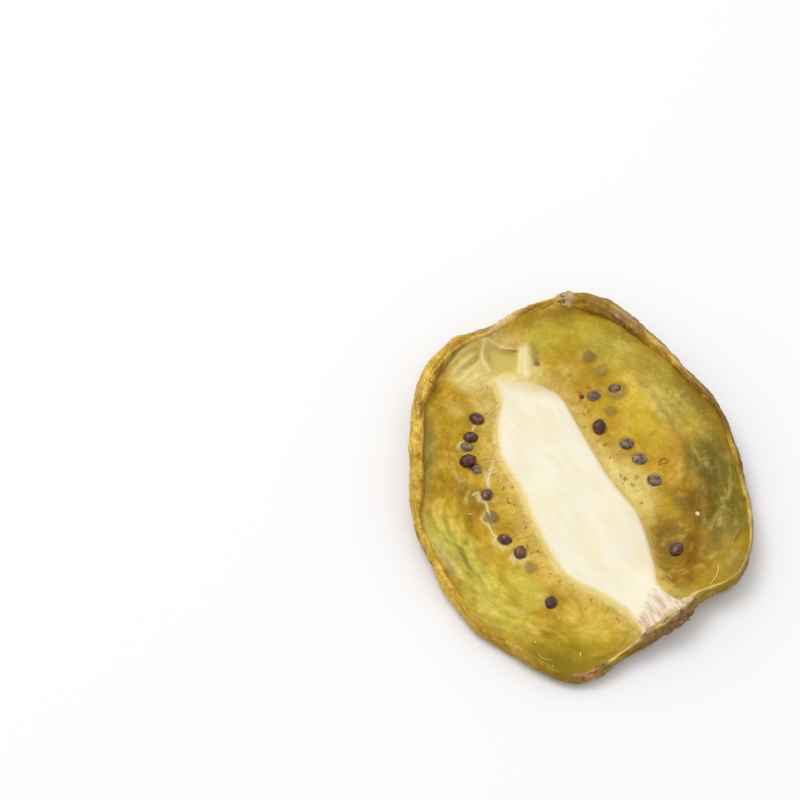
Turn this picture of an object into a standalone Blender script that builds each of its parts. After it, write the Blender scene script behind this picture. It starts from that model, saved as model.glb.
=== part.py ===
"""A dried kiwi slice, cut lengthwise through the fruit.

One closed leathery solid: a thin shallow dish of flesh with a rolled, uneven rim,
the pale core standing a little proud along its middle, a dimple where the blossom
end was, and the core's dried end folded over the rim at the other end.
Y runs along the core, Z is up, and the slice rests on its flat middle.
"""

import math

import bmesh
import bpy
from mathutils import Vector

MM = 0.001

# The slice as a whole, in millimetres.
FLESH_THICKNESS = 1.7          # leathery flesh over the flat middle
FLAT_SHARE = 0.50              # share of the reach that lies flat on the table
CURL_START = 0.55              # share of the reach where the top starts to rise
CURL_POWER = 1.7               # how late the rise to the rim comes
RELIEF_FADE = 0.12             # share of the reach over which the relief dies out at the lip

# The rim, read anticlockwise in degrees from +X: the dried end of the core is at 272.
RIM_REACH = {0: 22.4, 20: 23.4, 35: 25.5, 47: 28.9, 58: 30.3, 70: 28.1, 88: 26.1, 101: 26.9,
             125: 23.4, 150: 21.0, 180: 22.0, 200: 23.3, 210: 25.0, 226: 26.6, 241: 28.9,
             256: 25.8, 272: 24.7, 283: 23.1, 297: 25.1, 315: 23.4, 335: 22.0}
RIM_CREST = {0: 4.4, 40: 5.1, 65: 5.7, 95: 5.1, 135: 4.6, 160: 4.0, 180: 3.4, 205: 2.4, 226: 1.9,
             243: 2.0, 254: 2.7, 272: 4.1, 284: 3.8, 297: 3.5, 315: 3.7, 335: 4.0}
RIM_DROP = {0: 0.7, 40: 1.4, 65: 2.0, 95: 1.8, 135: 1.4, 180: 0.8, 205: 0.4, 226: 0.3, 250: 0.3,
            272: 0.2, 284: 0.3, 310: 0.5}
RIM_LIFT = {0: 1.5, 40: 2.0, 65: 2.2, 95: 2.0, 135: 1.9, 160: 1.6, 180: 1.1, 205: 0.5, 226: 0.3,
            243: 0.4, 254: 0.8, 272: 1.5, 284: 1.6, 297: 1.1, 315: 1.0, 335: 1.1}
LIP_WIDTH = {0: 1.1, 40: 1.8, 65: 2.5, 95: 2.1, 135: 2.1, 180: 1.6, 225: 1.1, 250: 1.0,
             272: 2.0, 284: 1.0, 310: 0.9}
WALL_BULGE_HEIGHT = 0.55       # where the outer wall is widest, as a share of its height
WALL_INSET = 0.7               # how far the wall's foot sits inside the reach, in lip widths

# Slow waves round the rim: (waves in a turn, millimetres, start in degrees).
REACH_WAVES = ((9, 0.12, 75), (13, 0.08, 20), (22, 0.06, 130))
CREST_WAVES = ((5, 0.22, 40), (9, 0.20, 200), (16, 0.12, 10))
WIDTH_WAVES = ((5, 0.16, 150), (12, 0.14, 60), (17, 0.10, 250))

# The core, along Y: where its middle and its sides are.
CORE_MIDDLE = {21.0: 1.0, 17.0: 1.2, 12.0: 0.8, 7.5: -0.4, 2.5: -1.1, -6.0: -1.9, -11.0: -2.0,
               -16.5: -1.6, -20.0: -1.0, -24.0: 0.4}
CORE_HALF_WIDTH = {21.0: 0.9, 17.0: 3.0, 12.0: 4.9, 7.5: 5.6, 2.5: 5.6, -6.0: 6.1, -11.0: 6.0,
                   -16.5: 4.0, -20.0: 2.9, -24.0: 3.3}
END_SPAN = 5.0                 # how far past each end these sizes are taken as steady
CORE_RISE = 0.45               # how proud of the flesh the core stands
CORE_SHOULDER = 2.6            # width of the slope from the flesh up to the core

# The dimple beside the rim at the blossom end.
DIMPLE_PLACE = (1.6, 21.6)
DIMPLE_SIZE = (3.4, 2.2)       # half sizes across and along
DIMPLE_DEPTH = 0.8
DIMPLE_TURN = -38              # degrees

# The core's dried end: the knot it makes at the rim, the hollows on either side of it,
# each (x, y, half size, depth), and the folds that fan out of it, each
# (direction, reach, half width, height).
STALK_PLACE = (2.6, -23.5)
STALK_SPREAD = 3.2
STALK_RISE = 0.7
HOLLOWS = ((-3.6, -20.6, 3.0, 0.7), (7.2, -18.2, 4.2, 0.7))
FOLDS = ((60, 18.0, 1.9, 0.50), (44, 16.0, 1.8, -0.45), (29, 14.0, 1.7, 0.40),
         (152, 15.0, 1.9, 0.40))

# Gentle swells of the flesh: (waves across, waves along in a tenth of a metre, millimetres, start).
SWELLS = ((7.0, 4.0, 0.09, 10), (-5.0, 9.0, 0.08, 80), (12.0, -6.0, 0.06, 200))

# How finely the solid is cut into faces.
COLUMNS = 96
TOP_RINGS = 24
LIP_RINGS = 4                  # in each of the lip's three bends
UNDER_RINGS = 9
RINGS = TOP_RINGS + 3 * LIP_RINGS + UNDER_RINGS

FLESH_COLOUR = (0.58, 0.42, 0.09, 1.0)
FLESH_ROUGHNESS = 0.45


def clear_scene():
    for old in list(bpy.data.objects):
        bpy.data.objects.remove(old, do_unlink=True)


def smooth_step(share):
    share = min(max(share, 0.0), 1.0)
    return share * share * (3.0 - 2.0 * share)


def curve_between(before, start, end, after, share):
    """A smooth curve from start to end whose slopes take in the neighbours on either side."""
    (x0, y0), (x1, y1), (x2, y2), (x3, y3) = before, start, end, after
    span = x2 - x1
    slope_start = span * (y2 - y0) / (x2 - x0)
    slope_end = span * (y3 - y1) / (x3 - x1)
    square, cube = share * share, share ** 3
    return (y1 * (2 * cube - 3 * square + 1) + slope_start * (cube - 2 * square + share)
            + y2 * (3 * square - 2 * cube) + slope_end * (cube - square))


def round_the_rim(sizes, angle):
    """Reads one of the rim's sizes at an angle in degrees, smoothly and without a seam."""
    angle %= 360.0
    stops = sorted(sizes.items())
    count = len(stops)
    stops = ([(a - 360.0, v) for a, v in stops[-2:]] + stops
             + [(a + 360.0, v) for a, v in stops[:2]])
    for i in range(1, count + 2):
        if stops[i][0] <= angle <= stops[i + 1][0]:
            share = (angle - stops[i][0]) / (stops[i + 1][0] - stops[i][0])
            return curve_between(stops[i - 1], stops[i], stops[i + 1], stops[i + 2], share)
    return stops[1][1]


def along_core(sizes, y):
    """Reads one of the core's sizes at y, unchanged past its two ends."""
    stops = sorted(sizes.items())
    (first_y, first), (last_y, last) = stops[0], stops[-1]
    y = min(max(y, first_y), last_y)
    stops = [(first_y - END_SPAN, first)] + stops + [(last_y + END_SPAN, last)]
    for i in range(1, len(stops) - 2):
        if stops[i][0] <= y <= stops[i + 1][0]:
            share = (y - stops[i][0]) / (stops[i + 1][0] - stops[i][0])
            return curve_between(stops[i - 1], stops[i], stops[i + 1], stops[i + 2], share)
    return last


def waves(table, angle):
    return sum(size * math.sin(math.radians(count * angle + start)) for count, size, start in table)


def core_share(x, y):
    """1 on the core, 0 on the flesh, and between the two on the core's shoulder."""
    side = abs(x - along_core(CORE_MIDDLE, y)) - along_core(CORE_HALF_WIDTH, y)
    past_tip = y - max(CORE_MIDDLE)
    return smooth_step(0.5 - max(side, past_tip) / CORE_SHOULDER)


def dimple_height(x, y):
    turn = math.radians(DIMPLE_TURN)
    dx, dy = x - DIMPLE_PLACE[0], y - DIMPLE_PLACE[1]
    across = (dx * math.cos(turn) + dy * math.sin(turn)) / DIMPLE_SIZE[0]
    along = (dy * math.cos(turn) - dx * math.sin(turn)) / DIMPLE_SIZE[1]
    return -DIMPLE_DEPTH * smooth_step(1.0 - math.hypot(across, along))


def fold_height(x, y):
    dx, dy = x - STALK_PLACE[0], y - STALK_PLACE[1]
    height = 0.0
    for direction, reach, half_width, size in FOLDS:
        turn = math.radians(direction)
        ahead = dx * math.cos(turn) + dy * math.sin(turn)
        aside = dy * math.cos(turn) - dx * math.sin(turn)
        if 0.0 < ahead < reach:
            swell = math.sin(math.pi * ahead / reach)
            height += size * swell * math.exp(-(aside / half_width) ** 2)
    return height


def stalk_height(x, y):
    away = math.hypot(x - STALK_PLACE[0], y - STALK_PLACE[1]) / STALK_SPREAD
    return STALK_RISE * math.exp(-away * away)


def hollow_height(x, y):
    return -sum(depth * smooth_step(1.0 - math.hypot(x - place_x, y - place_y) / (2.0 * half_size))
                for place_x, place_y, half_size, depth in HOLLOWS)


def swell_height(x, y):
    return sum(size * math.sin(math.tau * (across * x + along * y) / 100.0 + math.radians(start))
               for across, along, size, start in SWELLS)


def top_height(x, y, share, foot_height):
    """Height of the cut face; share runs from 0 in the middle to 1 at the foot of the lip."""
    rise = smooth_step((share - CURL_START) / (1.0 - CURL_START)) ** CURL_POWER
    dish = FLESH_THICKNESS + (foot_height - FLESH_THICKNESS) * rise
    core = core_share(x, y)
    raised = CORE_RISE * core + stalk_height(x, y) + swell_height(x, y) + dimple_height(x, y)
    creased = (fold_height(x, y) + hollow_height(x, y)) * (1.0 - core)
    return dish + (raised + creased) * smooth_step((1.0 - share) / RELIEF_FADE)


def quarter_turns():
    """Sine and cosine at each step of one of the lip's bends, leaving out the step it starts on."""
    for step in range(1, LIP_RINGS + 1):
        bend = 0.5 * math.pi * step / LIP_RINGS
        yield math.sin(bend), math.cos(bend)


def section(angle):
    """Radius and height of every ring at one angle, over the top, round the lip and back below."""
    reach = round_the_rim(RIM_REACH, angle) + waves(REACH_WAVES, angle)
    crest = round_the_rim(RIM_CREST, angle) + waves(CREST_WAVES, angle)
    lift = round_the_rim(RIM_LIFT, angle)
    width = round_the_rim(LIP_WIDTH, angle) + waves(WIDTH_WAVES, angle)
    drop = round_the_rim(RIM_DROP, angle)
    middle = reach - width / 2.0
    foot = reach - width
    foot_height = crest - drop
    bulge = lift + (crest - lift) * WALL_BULGE_HEIGHT
    inset = width * WALL_INSET
    cos_a, sin_a = math.cos(math.radians(angle)), math.sin(math.radians(angle))

    points = []
    for ring in range(TOP_RINGS + 1):
        share = ring / TOP_RINGS
        radius = foot * share
        points.append((radius, top_height(radius * cos_a, radius * sin_a, share, foot_height)))
    for sine, cosine in quarter_turns():
        points.append((middle - 0.5 * width * cosine, foot_height + drop * sine))
    for sine, cosine in quarter_turns():
        points.append((middle + 0.5 * width * sine, bulge + (crest - bulge) * cosine))
    for sine, cosine in quarter_turns():
        points.append((reach - inset * (1.0 - cosine), bulge - (bulge - lift) * sine))
    for ring in range(1, UNDER_RINGS + 1):
        share = 1.0 - ring / UNDER_RINGS
        rise = smooth_step((share - FLAT_SHARE) / (1.0 - FLAT_SHARE))
        points.append(((reach - inset) * share, lift * rise))
    return points


def shape_slice(mesh):
    """Moves a sphere's rings onto the slice: its pole is the middle of the cut face."""
    sphere = bmesh.new()
    bmesh.ops.create_uvsphere(sphere, u_segments=COLUMNS, v_segments=RINGS, radius=1.0)
    sections = {}
    for vertex in sphere.verts:
        ring = round(math.acos(min(max(vertex.co.z, -1.0), 1.0)) / math.pi * RINGS)
        column = round(math.atan2(vertex.co.y, vertex.co.x) / math.tau * COLUMNS) % COLUMNS
        if column not in sections:
            sections[column] = section(column * 360.0 / COLUMNS)
        radius, height = sections[column][ring]
        angle = math.tau * column / COLUMNS
        vertex.co = Vector((radius * math.cos(angle), radius * math.sin(angle), height)) * MM
    sphere.to_mesh(mesh)
    sphere.free()


def centre_on_box(mesh):
    """Puts the origin at the middle of the footprint, on the table."""
    xs = [v.co.x for v in mesh.vertices]
    ys = [v.co.y for v in mesh.vertices]
    shift = Vector((-(min(xs) + max(xs)) / 2.0, -(min(ys) + max(ys)) / 2.0, 0.0))
    for vertex in mesh.vertices:
        vertex.co += shift


def flesh_material():
    material = bpy.data.materials.new("kiwi_flesh")
    material.use_nodes = True
    shader = material.node_tree.nodes["Principled BSDF"]
    shader.inputs["Base Color"].default_value = FLESH_COLOUR
    shader.inputs["Roughness"].default_value = FLESH_ROUGHNESS
    shader.inputs["Metallic"].default_value = 0.0
    return material


def make_slice(collection):
    mesh = bpy.data.meshes.new("kiwi_slice")
    shape_slice(mesh)
    centre_on_box(mesh)
    mesh.materials.append(flesh_material())
    mesh.shade_smooth()
    slice_object = bpy.data.objects.new("kiwi_slice", mesh)
    collection.objects.link(slice_object)
    return slice_object


def main():
    clear_scene()
    collection = bpy.data.collections.new("dried_kiwi_slice")
    bpy.context.scene.collection.children.link(collection)
    make_slice(collection)


main()
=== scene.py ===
import math

import bmesh
import bpy
import numpy as np
from mathutils import Matrix, Vector
from mathutils.bvhtree import BVHTree
from mathutils.kdtree import KDTree


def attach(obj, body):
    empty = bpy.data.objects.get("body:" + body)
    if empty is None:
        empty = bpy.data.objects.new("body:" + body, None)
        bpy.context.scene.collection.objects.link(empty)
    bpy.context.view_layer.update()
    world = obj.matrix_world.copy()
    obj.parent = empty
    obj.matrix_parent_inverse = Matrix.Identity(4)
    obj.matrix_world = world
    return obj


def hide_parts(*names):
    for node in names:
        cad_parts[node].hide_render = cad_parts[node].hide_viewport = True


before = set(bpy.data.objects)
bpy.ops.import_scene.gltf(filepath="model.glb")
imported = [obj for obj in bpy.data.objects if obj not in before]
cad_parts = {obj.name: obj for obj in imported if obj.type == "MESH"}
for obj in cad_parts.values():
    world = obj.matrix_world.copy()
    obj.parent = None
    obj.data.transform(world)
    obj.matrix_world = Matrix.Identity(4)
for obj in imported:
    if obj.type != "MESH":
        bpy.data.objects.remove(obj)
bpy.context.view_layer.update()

# A dried kiwi slice, cut lengthwise. Sizes are in millimetres unless a note says otherwise,
# angles in degrees. +Y runs along the core, whose dried end is at -Y, and +Z is up.
mm = 0.001
nodeName = "kiwi_slice"
rimRadius = 24.0                        # about the rim's own; patterns that run round the rim use it
upward = Vector((0.0, 0.0, 1.0))


def smoothStep(share):
    share = np.clip(share, 0.0, 1.0)
    return share * share * (3.0 - 2.0 * share)


def bell(distance):
    return np.exp(-distance * distance)


def polar(radius, turn):
    return radius * np.cos(turn), radius * np.sin(turn)


def stacked(*parts):
    # columns side by side; a single number fills its column
    return np.stack(np.broadcast_arrays(*parts), -1)


def readTable(sizes, where, period=None):
    # a smooth curve through a small table; with a period it closes on itself
    stops = sorted(sizes.items())
    if period:
        stops = [(a - period, v) for a, v in stops[-2:]] + stops + [(a + period, v) for a, v in stops[:2]]
        where = np.mod(where, period)
    else:
        first, last = stops[0], stops[-1]
        stops = [(first[0] - 4.0, first[1])] + stops + [(last[0] + 4.0, last[1])]
        where = np.clip(where, first[0], last[0])
    x, y = np.array(stops, float).T
    slope = np.zeros_like(y)
    slope[1:-1] = (y[2:] - y[:-2]) / (x[2:] - x[:-2])
    i = np.clip(np.searchsorted(x, where, side="right") - 1, 1, len(x) - 3)
    span = x[i + 1] - x[i]
    t = (where - x[i]) / span
    t2, t3 = t * t, t * t * t
    return (y[i] * (2 * t3 - 3 * t2 + 1) + span * slope[i] * (t3 - 2 * t2 + t)
            + y[i + 1] * (3 * t2 - 2 * t3) + span * slope[i + 1] * (t3 - t2))


def aroundRim(sizes, angles):
    return readTable(sizes, angles, 360.0)


def scramble(x, y, z, seed):
    n = (x * 374761393 + y * 668265263 + z * 1440662683 + seed * 974634777) & 0xffffffff
    n = ((n ^ (n >> 13)) * 1274126177) & 0xffffffff
    n = ((n ^ (n >> 15)) * 2246822519) & 0xffffffff
    return ((n ^ (n >> 16)) & 0xfffff) / 524287.5 - 1.0


def softNoise(points, size, seed):
    # smooth lumps about one size across, from -1 to 1; points is (n, 3)
    scaled = points / size
    cell = np.floor(scaled)
    inside = scaled - cell
    inside = inside * inside * inside * (inside * (inside * 6.0 - 15.0) + 10.0)
    cell = cell.astype(np.int64)
    total = np.zeros(len(points))
    for corner in np.ndindex(2, 2, 2):
        weight = np.where(corner, inside, 1 - inside).prod(1)
        total += weight * scramble(*(cell + corner).T, seed)
    return total


def layeredNoise(points, size, seed, layers=3, fade=0.5):
    total, height, reached = np.zeros(len(points)), 1.0, 0.0
    for layer in range(layers):
        total += height * softNoise(points, size, seed + 17 * layer)
        reached += height
        height *= fade
        size *= 0.5
    return total / reached


def creasedNoise(points, size, seed, layers=2):
    # rounded folds with sharp creases between them, from 0 in a crease to about 1
    return np.clip(np.abs(layeredNoise(points, size, seed, layers)) * 2.6, 0.0, 1.2)


def smoothAlong(values, spread, axis, wrap):
    # a bell-shaped running mean, spread in grid steps
    reach = int(math.ceil(spread * 3))
    offsets = np.arange(-reach, reach + 1)
    weights = np.exp(-0.5 * (offsets / spread) ** 2)
    weights /= weights.sum()
    if wrap:
        return sum(w * np.roll(values, -o, axis) for o, w in zip(offsets, weights))
    count = values.shape[axis]
    return sum(w * np.take(values, np.clip(np.arange(count) + o, 0, count - 1), axis)
               for o, w in zip(offsets, weights))


def smoothPath(stops, step=0.12):
    # points along a smooth line through the stops
    stops = np.array(stops, float)
    if len(stops) == 2:
        stops = np.stack([stops[0], stops.mean(0), stops[1]])
    padded = np.concatenate([[2 * stops[0] - stops[1]], stops, [2 * stops[-1] - stops[-2]]])
    points = []
    for i in range(1, len(padded) - 2):
        a, b, c, d = padded[i - 1:i + 3]
        pieces = max(2, int(np.linalg.norm(c - b) / step))
        for t in np.arange(pieces) / pieces:
            points.append(0.5 * (2 * b + (c - a) * t + (2 * a - 5 * b + 4 * c - d) * t * t
                                 + (3 * b - a - 3 * c + d) * t ** 3))
    points.append(padded[-2])
    return np.array(points)


def pathDistance(x, y, points):
    # distance from each place to a line, and how far along the line that is, from 0 to 1
    nearest = np.full(x.shape, 1e9)
    along = np.zeros(x.shape)
    count = len(points) - 1
    for i in range(count):
        (ax, ay), (bx, by) = points[i][:2], points[i + 1][:2]
        dx, dy = bx - ax, by - ay
        t = np.clip(((x - ax) * dx + (y - ay) * dy) / max(dx * dx + dy * dy, 1e-9), 0.0, 1.0)
        away = np.hypot(x - ax - t * dx, y - ay - t * dy)
        closer = away < nearest
        nearest = np.where(closer, away, nearest)
        along = np.where(closer, (i + t) / count, along)
    return nearest, along


def spotField(x, y, spots, reach, fade):
    # the strongest of some round spots; reach and fade are in half sizes
    field = np.zeros_like(x)
    for sx, sy, halfSize, strength in spots:
        away = np.hypot(x - sx, y - sy) / halfSize
        field = np.maximum(field, strength * smoothStep((reach - away) / fade))
    return field


# The frame: its mesh for ray casts, and what its rim measures.
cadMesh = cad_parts[nodeName].data
cadTree = BVHTree.FromPolygons([v.co / mm for v in cadMesh.vertices],
                               [p.vertices[:] for p in cadMesh.polygons])


def rayHeights(x, y, fromAbove):
    start, direction = (20.0, -upward) if fromAbove else (-5.0, upward)
    heights = np.full(x.size, np.nan)
    for i, (px, py) in enumerate(zip(x.ravel(), y.ravel())):
        hit = cadTree.ray_cast(Vector((px, py, start)), direction)[0]
        if hit is not None:
            heights[i] = hit.z
    return heights.reshape(x.shape)


def readRim(steps=240):
    # how far out the rim reaches and how high its crest is, by angle
    angles = np.arange(steps) * 360.0 / steps
    turns = np.radians(angles)
    far = 40.0
    reach = np.zeros(steps)
    for i, turn in enumerate(turns):
        outward = Vector((math.cos(turn), math.sin(turn), 0.0))
        for height in np.arange(1.0, 6.2, 0.2):
            distance = cadTree.ray_cast(outward * far + upward * height, -outward)[3]
            if distance is not None:
                reach[i] = max(reach[i], far - distance)
    radii = reach - np.arange(0.15, 1.6, 0.15)[:, None]
    crest = np.nanmax(rayHeights(*polar(radii, turns), True), axis=0)
    return [dict(zip(angles, smoothAlong(values, spread, 0, True)))
            for values, spread in ((reach, 1.2), (crest, 1.5))]


rimReach, rimCrest = readRim()
print("frame read: rim %.1f to %.1f mm out and %.1f to %.1f mm high"
      % (min(rimReach.values()), max(rimReach.values()), min(rimCrest.values()), max(rimCrest.values())))

# Sizes round the rim are read by angle, anticlockwise from +X.
rimPlan = {
    "lipWidth": {0: 1.05, 20: 1.15, 35: 1.6, 45: 2.2, 55: 2.4, 65: 1.7, 78: 1.3, 98: 1.4, 112: 1.9,
                 145: 1.8, 160: 1.7, 170: 1.2, 210: 1.15, 228: 1.0, 243: 1.0, 256: 0.8, 272: 2.0,
                 285: 0.8, 310: 0.75, 335: 1.0},
    "overhang": {0: 0.0, 40: 0.15, 60: 0.35, 95: 0.2, 135: 0.15, 180: 0.0, 310: 0.0},
    # how pointed the lip's section is: 1 is an ellipse, less is boxy, more is sharp
    "point": {0: 1.0, 65: 0.9, 115: 0.72, 160: 0.72, 175: 1.0, 243: 1.0, 272: 0.8, 290: 1.4, 318: 1.3},
    # how deep the groove along the crest is
    "groove": {0: 0.18, 30: 0.12, 60: 0.0, 120: 0.0, 240: 0.0, 300: 0.0, 325: 0.14},
    "roughness": {0: 0.7, 40: 0.7, 60: 1.0, 80: 1.4, 100: 1.1, 120: 0.5, 150: 0.45, 172: 0.8, 225: 0.9,
                  250: 0.7, 272: 1.5, 290: 0.5, 320: 0.6},
    # where the crest is a thin pale line
    "paleCrest": {0: 0.15, 15: 0.4, 30: 0.45, 45: 0.2, 60: 0.0, 95: 0.0, 170: 0.0, 247: 0.0, 252: 0.6,
                  257: 0.6, 263: 0.25, 272: 0.5, 280: 0.8, 292: 0.35, 303: 0.8, 322: 0.8, 338: 0.1},
    "darkOutside": {0: 0.8, 30: 0.8, 60: 0.5, 120: 0.2, 170: 0.2, 225: 0.4, 245: 0.8, 258: 1.0, 320: 0.95},
    "columns": 960,
    "turns": 98,                        # points round the lip's section
    "lumps": 0.25,
    "longWrinkles": 0.3,                # run along the rim
    "crossWrinkles": 0.09,
    "grain": 0.04,
    "crusts": 0.34,
}
# Ragged dry crusts on the rim: x, y, half size, height
crustPlaces = (
    (12.8, 24.7, 1.4, 0.28), (19.0, 17.9, 1.1, 0.22), (-12.8, -25.4, 1.9, 0.28), (-10.4, -25.2, 1.3, 0.3),
    (-3.8, -25.5, 1.6, 0.2), (2.4, -24.6, 2.0, 0.26), (-0.6, -24.9, 1.6, 0.24), (5.0, -24.4, 1.0, 0.2),
    (-10.2, 20.3, 1.1, 0.25),
)


def lipAt(angles):
    # reach, crest, underside and width of the lip at each angle
    reach, crest = aroundRim(rimReach, angles), aroundRim(rimCrest, angles)
    width = aroundRim(rimPlan["lipWidth"], angles)
    inside = reach - 0.8 * np.maximum(width, 1.0)
    turn = np.radians(angles)
    under = rayHeights(inside * np.cos(turn), inside * np.sin(turn), False)
    return reach, crest, smoothAlong(under, len(angles) / 96.0, 0, True), width


# Where the core's two sides run: y to x
coreLeft = {20.2: -1.6, 18.1: -1.6, 15.7: -2.0, 14.1: -3.1, 11.9: -4.7, 8.8: -6.1, 6.9: -6.6, 2.0: -6.7,
            -2.1: -7.5, -7.1: -8.1, -11.1: -8.2, -13.7: -7.5, -16.6: -5.7, -20.1: -4.2, -24.0: -3.8}
coreRight = {20.2: 1.2, 18.1: 2.4, 15.3: 4.4, 13.1: 5.5, 8.7: 5.3, 3.4: 4.8, -1.0: 4.5, -4.6: 4.7, -8.1: 4.9,
             -12.6: 3.9, -16.6: 2.5, -19.0: 1.2, -21.3: 0.9, -22.8: 1.8, -24.2: 4.0}
coreEnds = (-26.0, 19.1)
coreStep = 0.1                          # between the points of its edge
# The core's upper end has no edge: it fades into the flesh across this line
coreFade = {"atY": 17.8, "lean": -0.85, "width": 5.5}


def coreSides(y):
    return readTable(coreLeft, y), readTable(coreRight, y)


def findCoreEdge():
    # points along the core's edge, up its left side and down its right
    y = np.arange(*coreEnds, coreStep)
    left, right = coreSides(y)
    points = np.concatenate([stacked(left, y, 0.0), stacked(right, y, 0.0)[::-1]])
    finder = KDTree(len(points))
    for i, point in enumerate(points):
        finder.insert(point, i)
    finder.balance()
    return finder


coreEdge = findCoreEdge()


def coreGaps(x, y):
    # distance out from the core's edge (below 0 on the core), and the place along that edge
    found = [coreEdge.find((px, py, 0.0)) for px, py in zip(x, y)]
    gap = np.array([distance for _, _, distance in found])
    along = np.array([index * coreStep for _, index, _ in found])
    left, right = coreSides(y)
    inside = (x > left) & (x < right) & (y < coreEnds[1])
    return np.where(inside, -gap, gap), along


def coreFading(x, y):
    # 1 on the core's side of the line where its upper end fades, 0 beyond it
    line = coreFade["atY"] + coreFade["lean"] * x
    return smoothStep((line - y) / coreFade["width"] + 0.5)


# The pocket at the blossom end: its outline, how wide each side's slope is, and its depth
pocket = {
    "outline": ((-0.4, 23.9), (0.8, 23.7), (3.6, 21.2), (1.9, 18.3), (-1.3, 20.1)),
    "slopes": (0.4, 0.45, 0.35, 2.0, 1.0),
    "depth": 0.5,
    # the next line traces a painted shadow under the pocket's top edge
    "darkLine": ((0.9, 23.6), (1.9, 22.65), (2.8, 22.0), (3.55, 21.3)),
}
# Pale folds round the pocket: half width and height, the pale line's half width and strength, stops. The pale
# lines are partly paler tissue, partly painted highlight on lit crests; the three with no height are painted
# light only.
paleFolds = (
    (0.4, 0.3, 0.24, 0.8,
     ((-0.4, 25.0), (-0.2, 23.9), (-0.9, 23.1), (-1.3, 22.0), (-1.4, 20.4), (-1.2, 19.4))),
    (0.85, 0.5, 0.5, 0.0, ((5.3, 22.2), (4.6, 20.8), (3.9, 19.5), (3.3, 18.2), (2.8, 16.7))),
    (0.14, 0.08, 0.12, 0.45, ((0.5, 23.4), (0.1, 22.3), (-0.4, 21.1))),
    (0.14, 0.08, 0.12, 0.35, ((1.0, 23.0), (1.0, 21.8), (1.1, 20.5))),
    (0.14, 0.08, 0.12, 0.45, ((0.1, 23.4), (-0.6, 22.4), (-1.0, 21.2))),
    (0.22, 0.15, 0.18, 0.6, ((-0.6, 24.0), (-2.1, 24.1), (-3.6, 24.0), (-6.6, 22.9))),
    (0.2, 0.14, 0.16, 0.55, ((-0.6, 23.5), (-2.2, 23.3), (-3.7, 22.9), (-6.4, 21.5))),
    (0.2, 0.12, 0.16, 0.55, ((-1.0, 22.5), (-2.4, 21.9), (-4.0, 21.2), (-6.8, 20.2))),
    (0.18, 0.1, 0.14, 0.45, ((-1.2, 20.2), (-3.2, 20.4), (-5.6, 19.8))),
    (0.4, 0.0, 0.4, 0.95, ((4.4, 22.1), (4.1, 21.4), (3.7, 20.6), (2.8, 19.3), (2.0, 18.0))),
    (0.75, 0.0, 0.75, 0.95, ((4.9, 22.0), (4.5, 20.9), (3.9, 19.7), (3.2, 18.4), (2.6, 16.9))),
    (0.15, 0.0, 0.15, 0.75, ((-0.2, 24.1), (0.9, 23.85), (2.0, 22.9), (3.6, 21.6))),
)
# Raised and sunken lines on the cut face: half width, height, and the points they pass
creases = (
    (0.3, -0.2, ((-0.8, 24.5), (-2.6, 24.7), (-5.4, 24.2), (-8.0, 22.8))),
    (0.3, -0.14, ((-0.9, 22.9), (-2.6, 22.6), (-4.6, 21.9), (-6.4, 20.9))),
    (0.55, -0.18, ((6.2, 21.6), (5.6, 20.3), (5.0, 19.0), (4.4, 17.6))),
    (0.3, 0.1, ((16.2, -9.5), (14.8, -12.5), (12.3, -14.3), (9.8, -15.7))),
    (0.7, -0.2, ((17.3, -11.8), (15.2, -14.2), (12.2, -15.9), (8.6, -17.5))),
    (0.4, -0.16, ((17.6, -14.6), (15.2, -16.9), (12.4, -18.3), (9.4, -19.3))),
    (0.6, -0.18, ((14.4, -6.9), (12.6, -9.4), (11.2, -12.6), (8.8, -15.8), (5.4, -18.9))),
    (0.45, -0.2, ((15.8, -5.4), (15.4, -8.8), (13.8, -11.6), (11.6, -13.4))),
    (0.35, -0.16, ((18.2, -4.4), (17.8, -7.8), (16.4, -11.2))),
    (0.5, -0.16, ((4.4, -13.8), (4.0, -16.4), (3.2, -19.2), (3.4, -21.6))),
    (0.4, -0.14, ((8.6, -15.6), (6.4, -18.4), (4.6, -21.4))),
    (0.26, 0.16, ((-4.6, -22.7), (-6.8, -23.9), (-9.4, -24.1), (-11.6, -23.5))),
    (0.6, -0.16, ((-13.8, 3.5), (-15.3, -0.3), (-17.6, -3.1), (-18.6, -7.1))),
    (0.4, 0.12, ((-14.6, 6.0), (-16.0, 0.5), (-18.4, -2.7), (-19.4, -7.1))),
    (0.4, 0.14, ((17.2, 13.9), (18.2, 8.5), (18.0, 3.5), (17.2, -2.5))),
    (0.35, -0.12, ((15.2, 12.5), (16.2, 7.5), (16.0, 1.5), (15.2, -4.5))),
    (0.3, 0.14, ((19.0, -1.5), (18.0, -6.5), (16.6, -10.5), (15.8, -13.5))),
    (0.3, -0.12, ((18.0, -2.5), (16.8, -7.5), (15.4, -11.5))),
)


def pocketDepth(x, y):
    # 1 on the pocket's floor, falling to 0 at its outline
    outline = pocket["outline"]
    depth = np.ones(x.shape)
    for i, ((ax, ay), slope) in enumerate(zip(outline, pocket["slopes"])):
        bx, by = outline[(i + 1) % len(outline)]
        length = math.hypot(bx - ax, by - ay)
        depth *= smoothStep(((x - ax) * (by - ay) - (y - ay) * (bx - ax)) / length / slope)
    return depth


def lineAt(x, y, stops, step, halfWidth, firstEnd, lastEnd):
    # a soft line through the stops, thinning out over a share of its length at each end
    away, along = pathDistance(x, y, smoothPath(stops, step))
    return bell(away / halfWidth) * smoothStep(along / firstEnd) * smoothStep((1.0 - along) / lastEnd)


def creaseRelief(x, y):
    height, valley = np.zeros_like(x), np.zeros_like(x)
    for halfWidth, size, *_, stops in paleFolds + creases:
        line = lineAt(x, y, stops, 0.6, halfWidth, 0.15, 0.2)
        height += size * line
        # how deep a sunken line is here, for painted shade in it
        valley = np.maximum(valley, line * -size / 0.25)
    return height, valley


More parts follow.
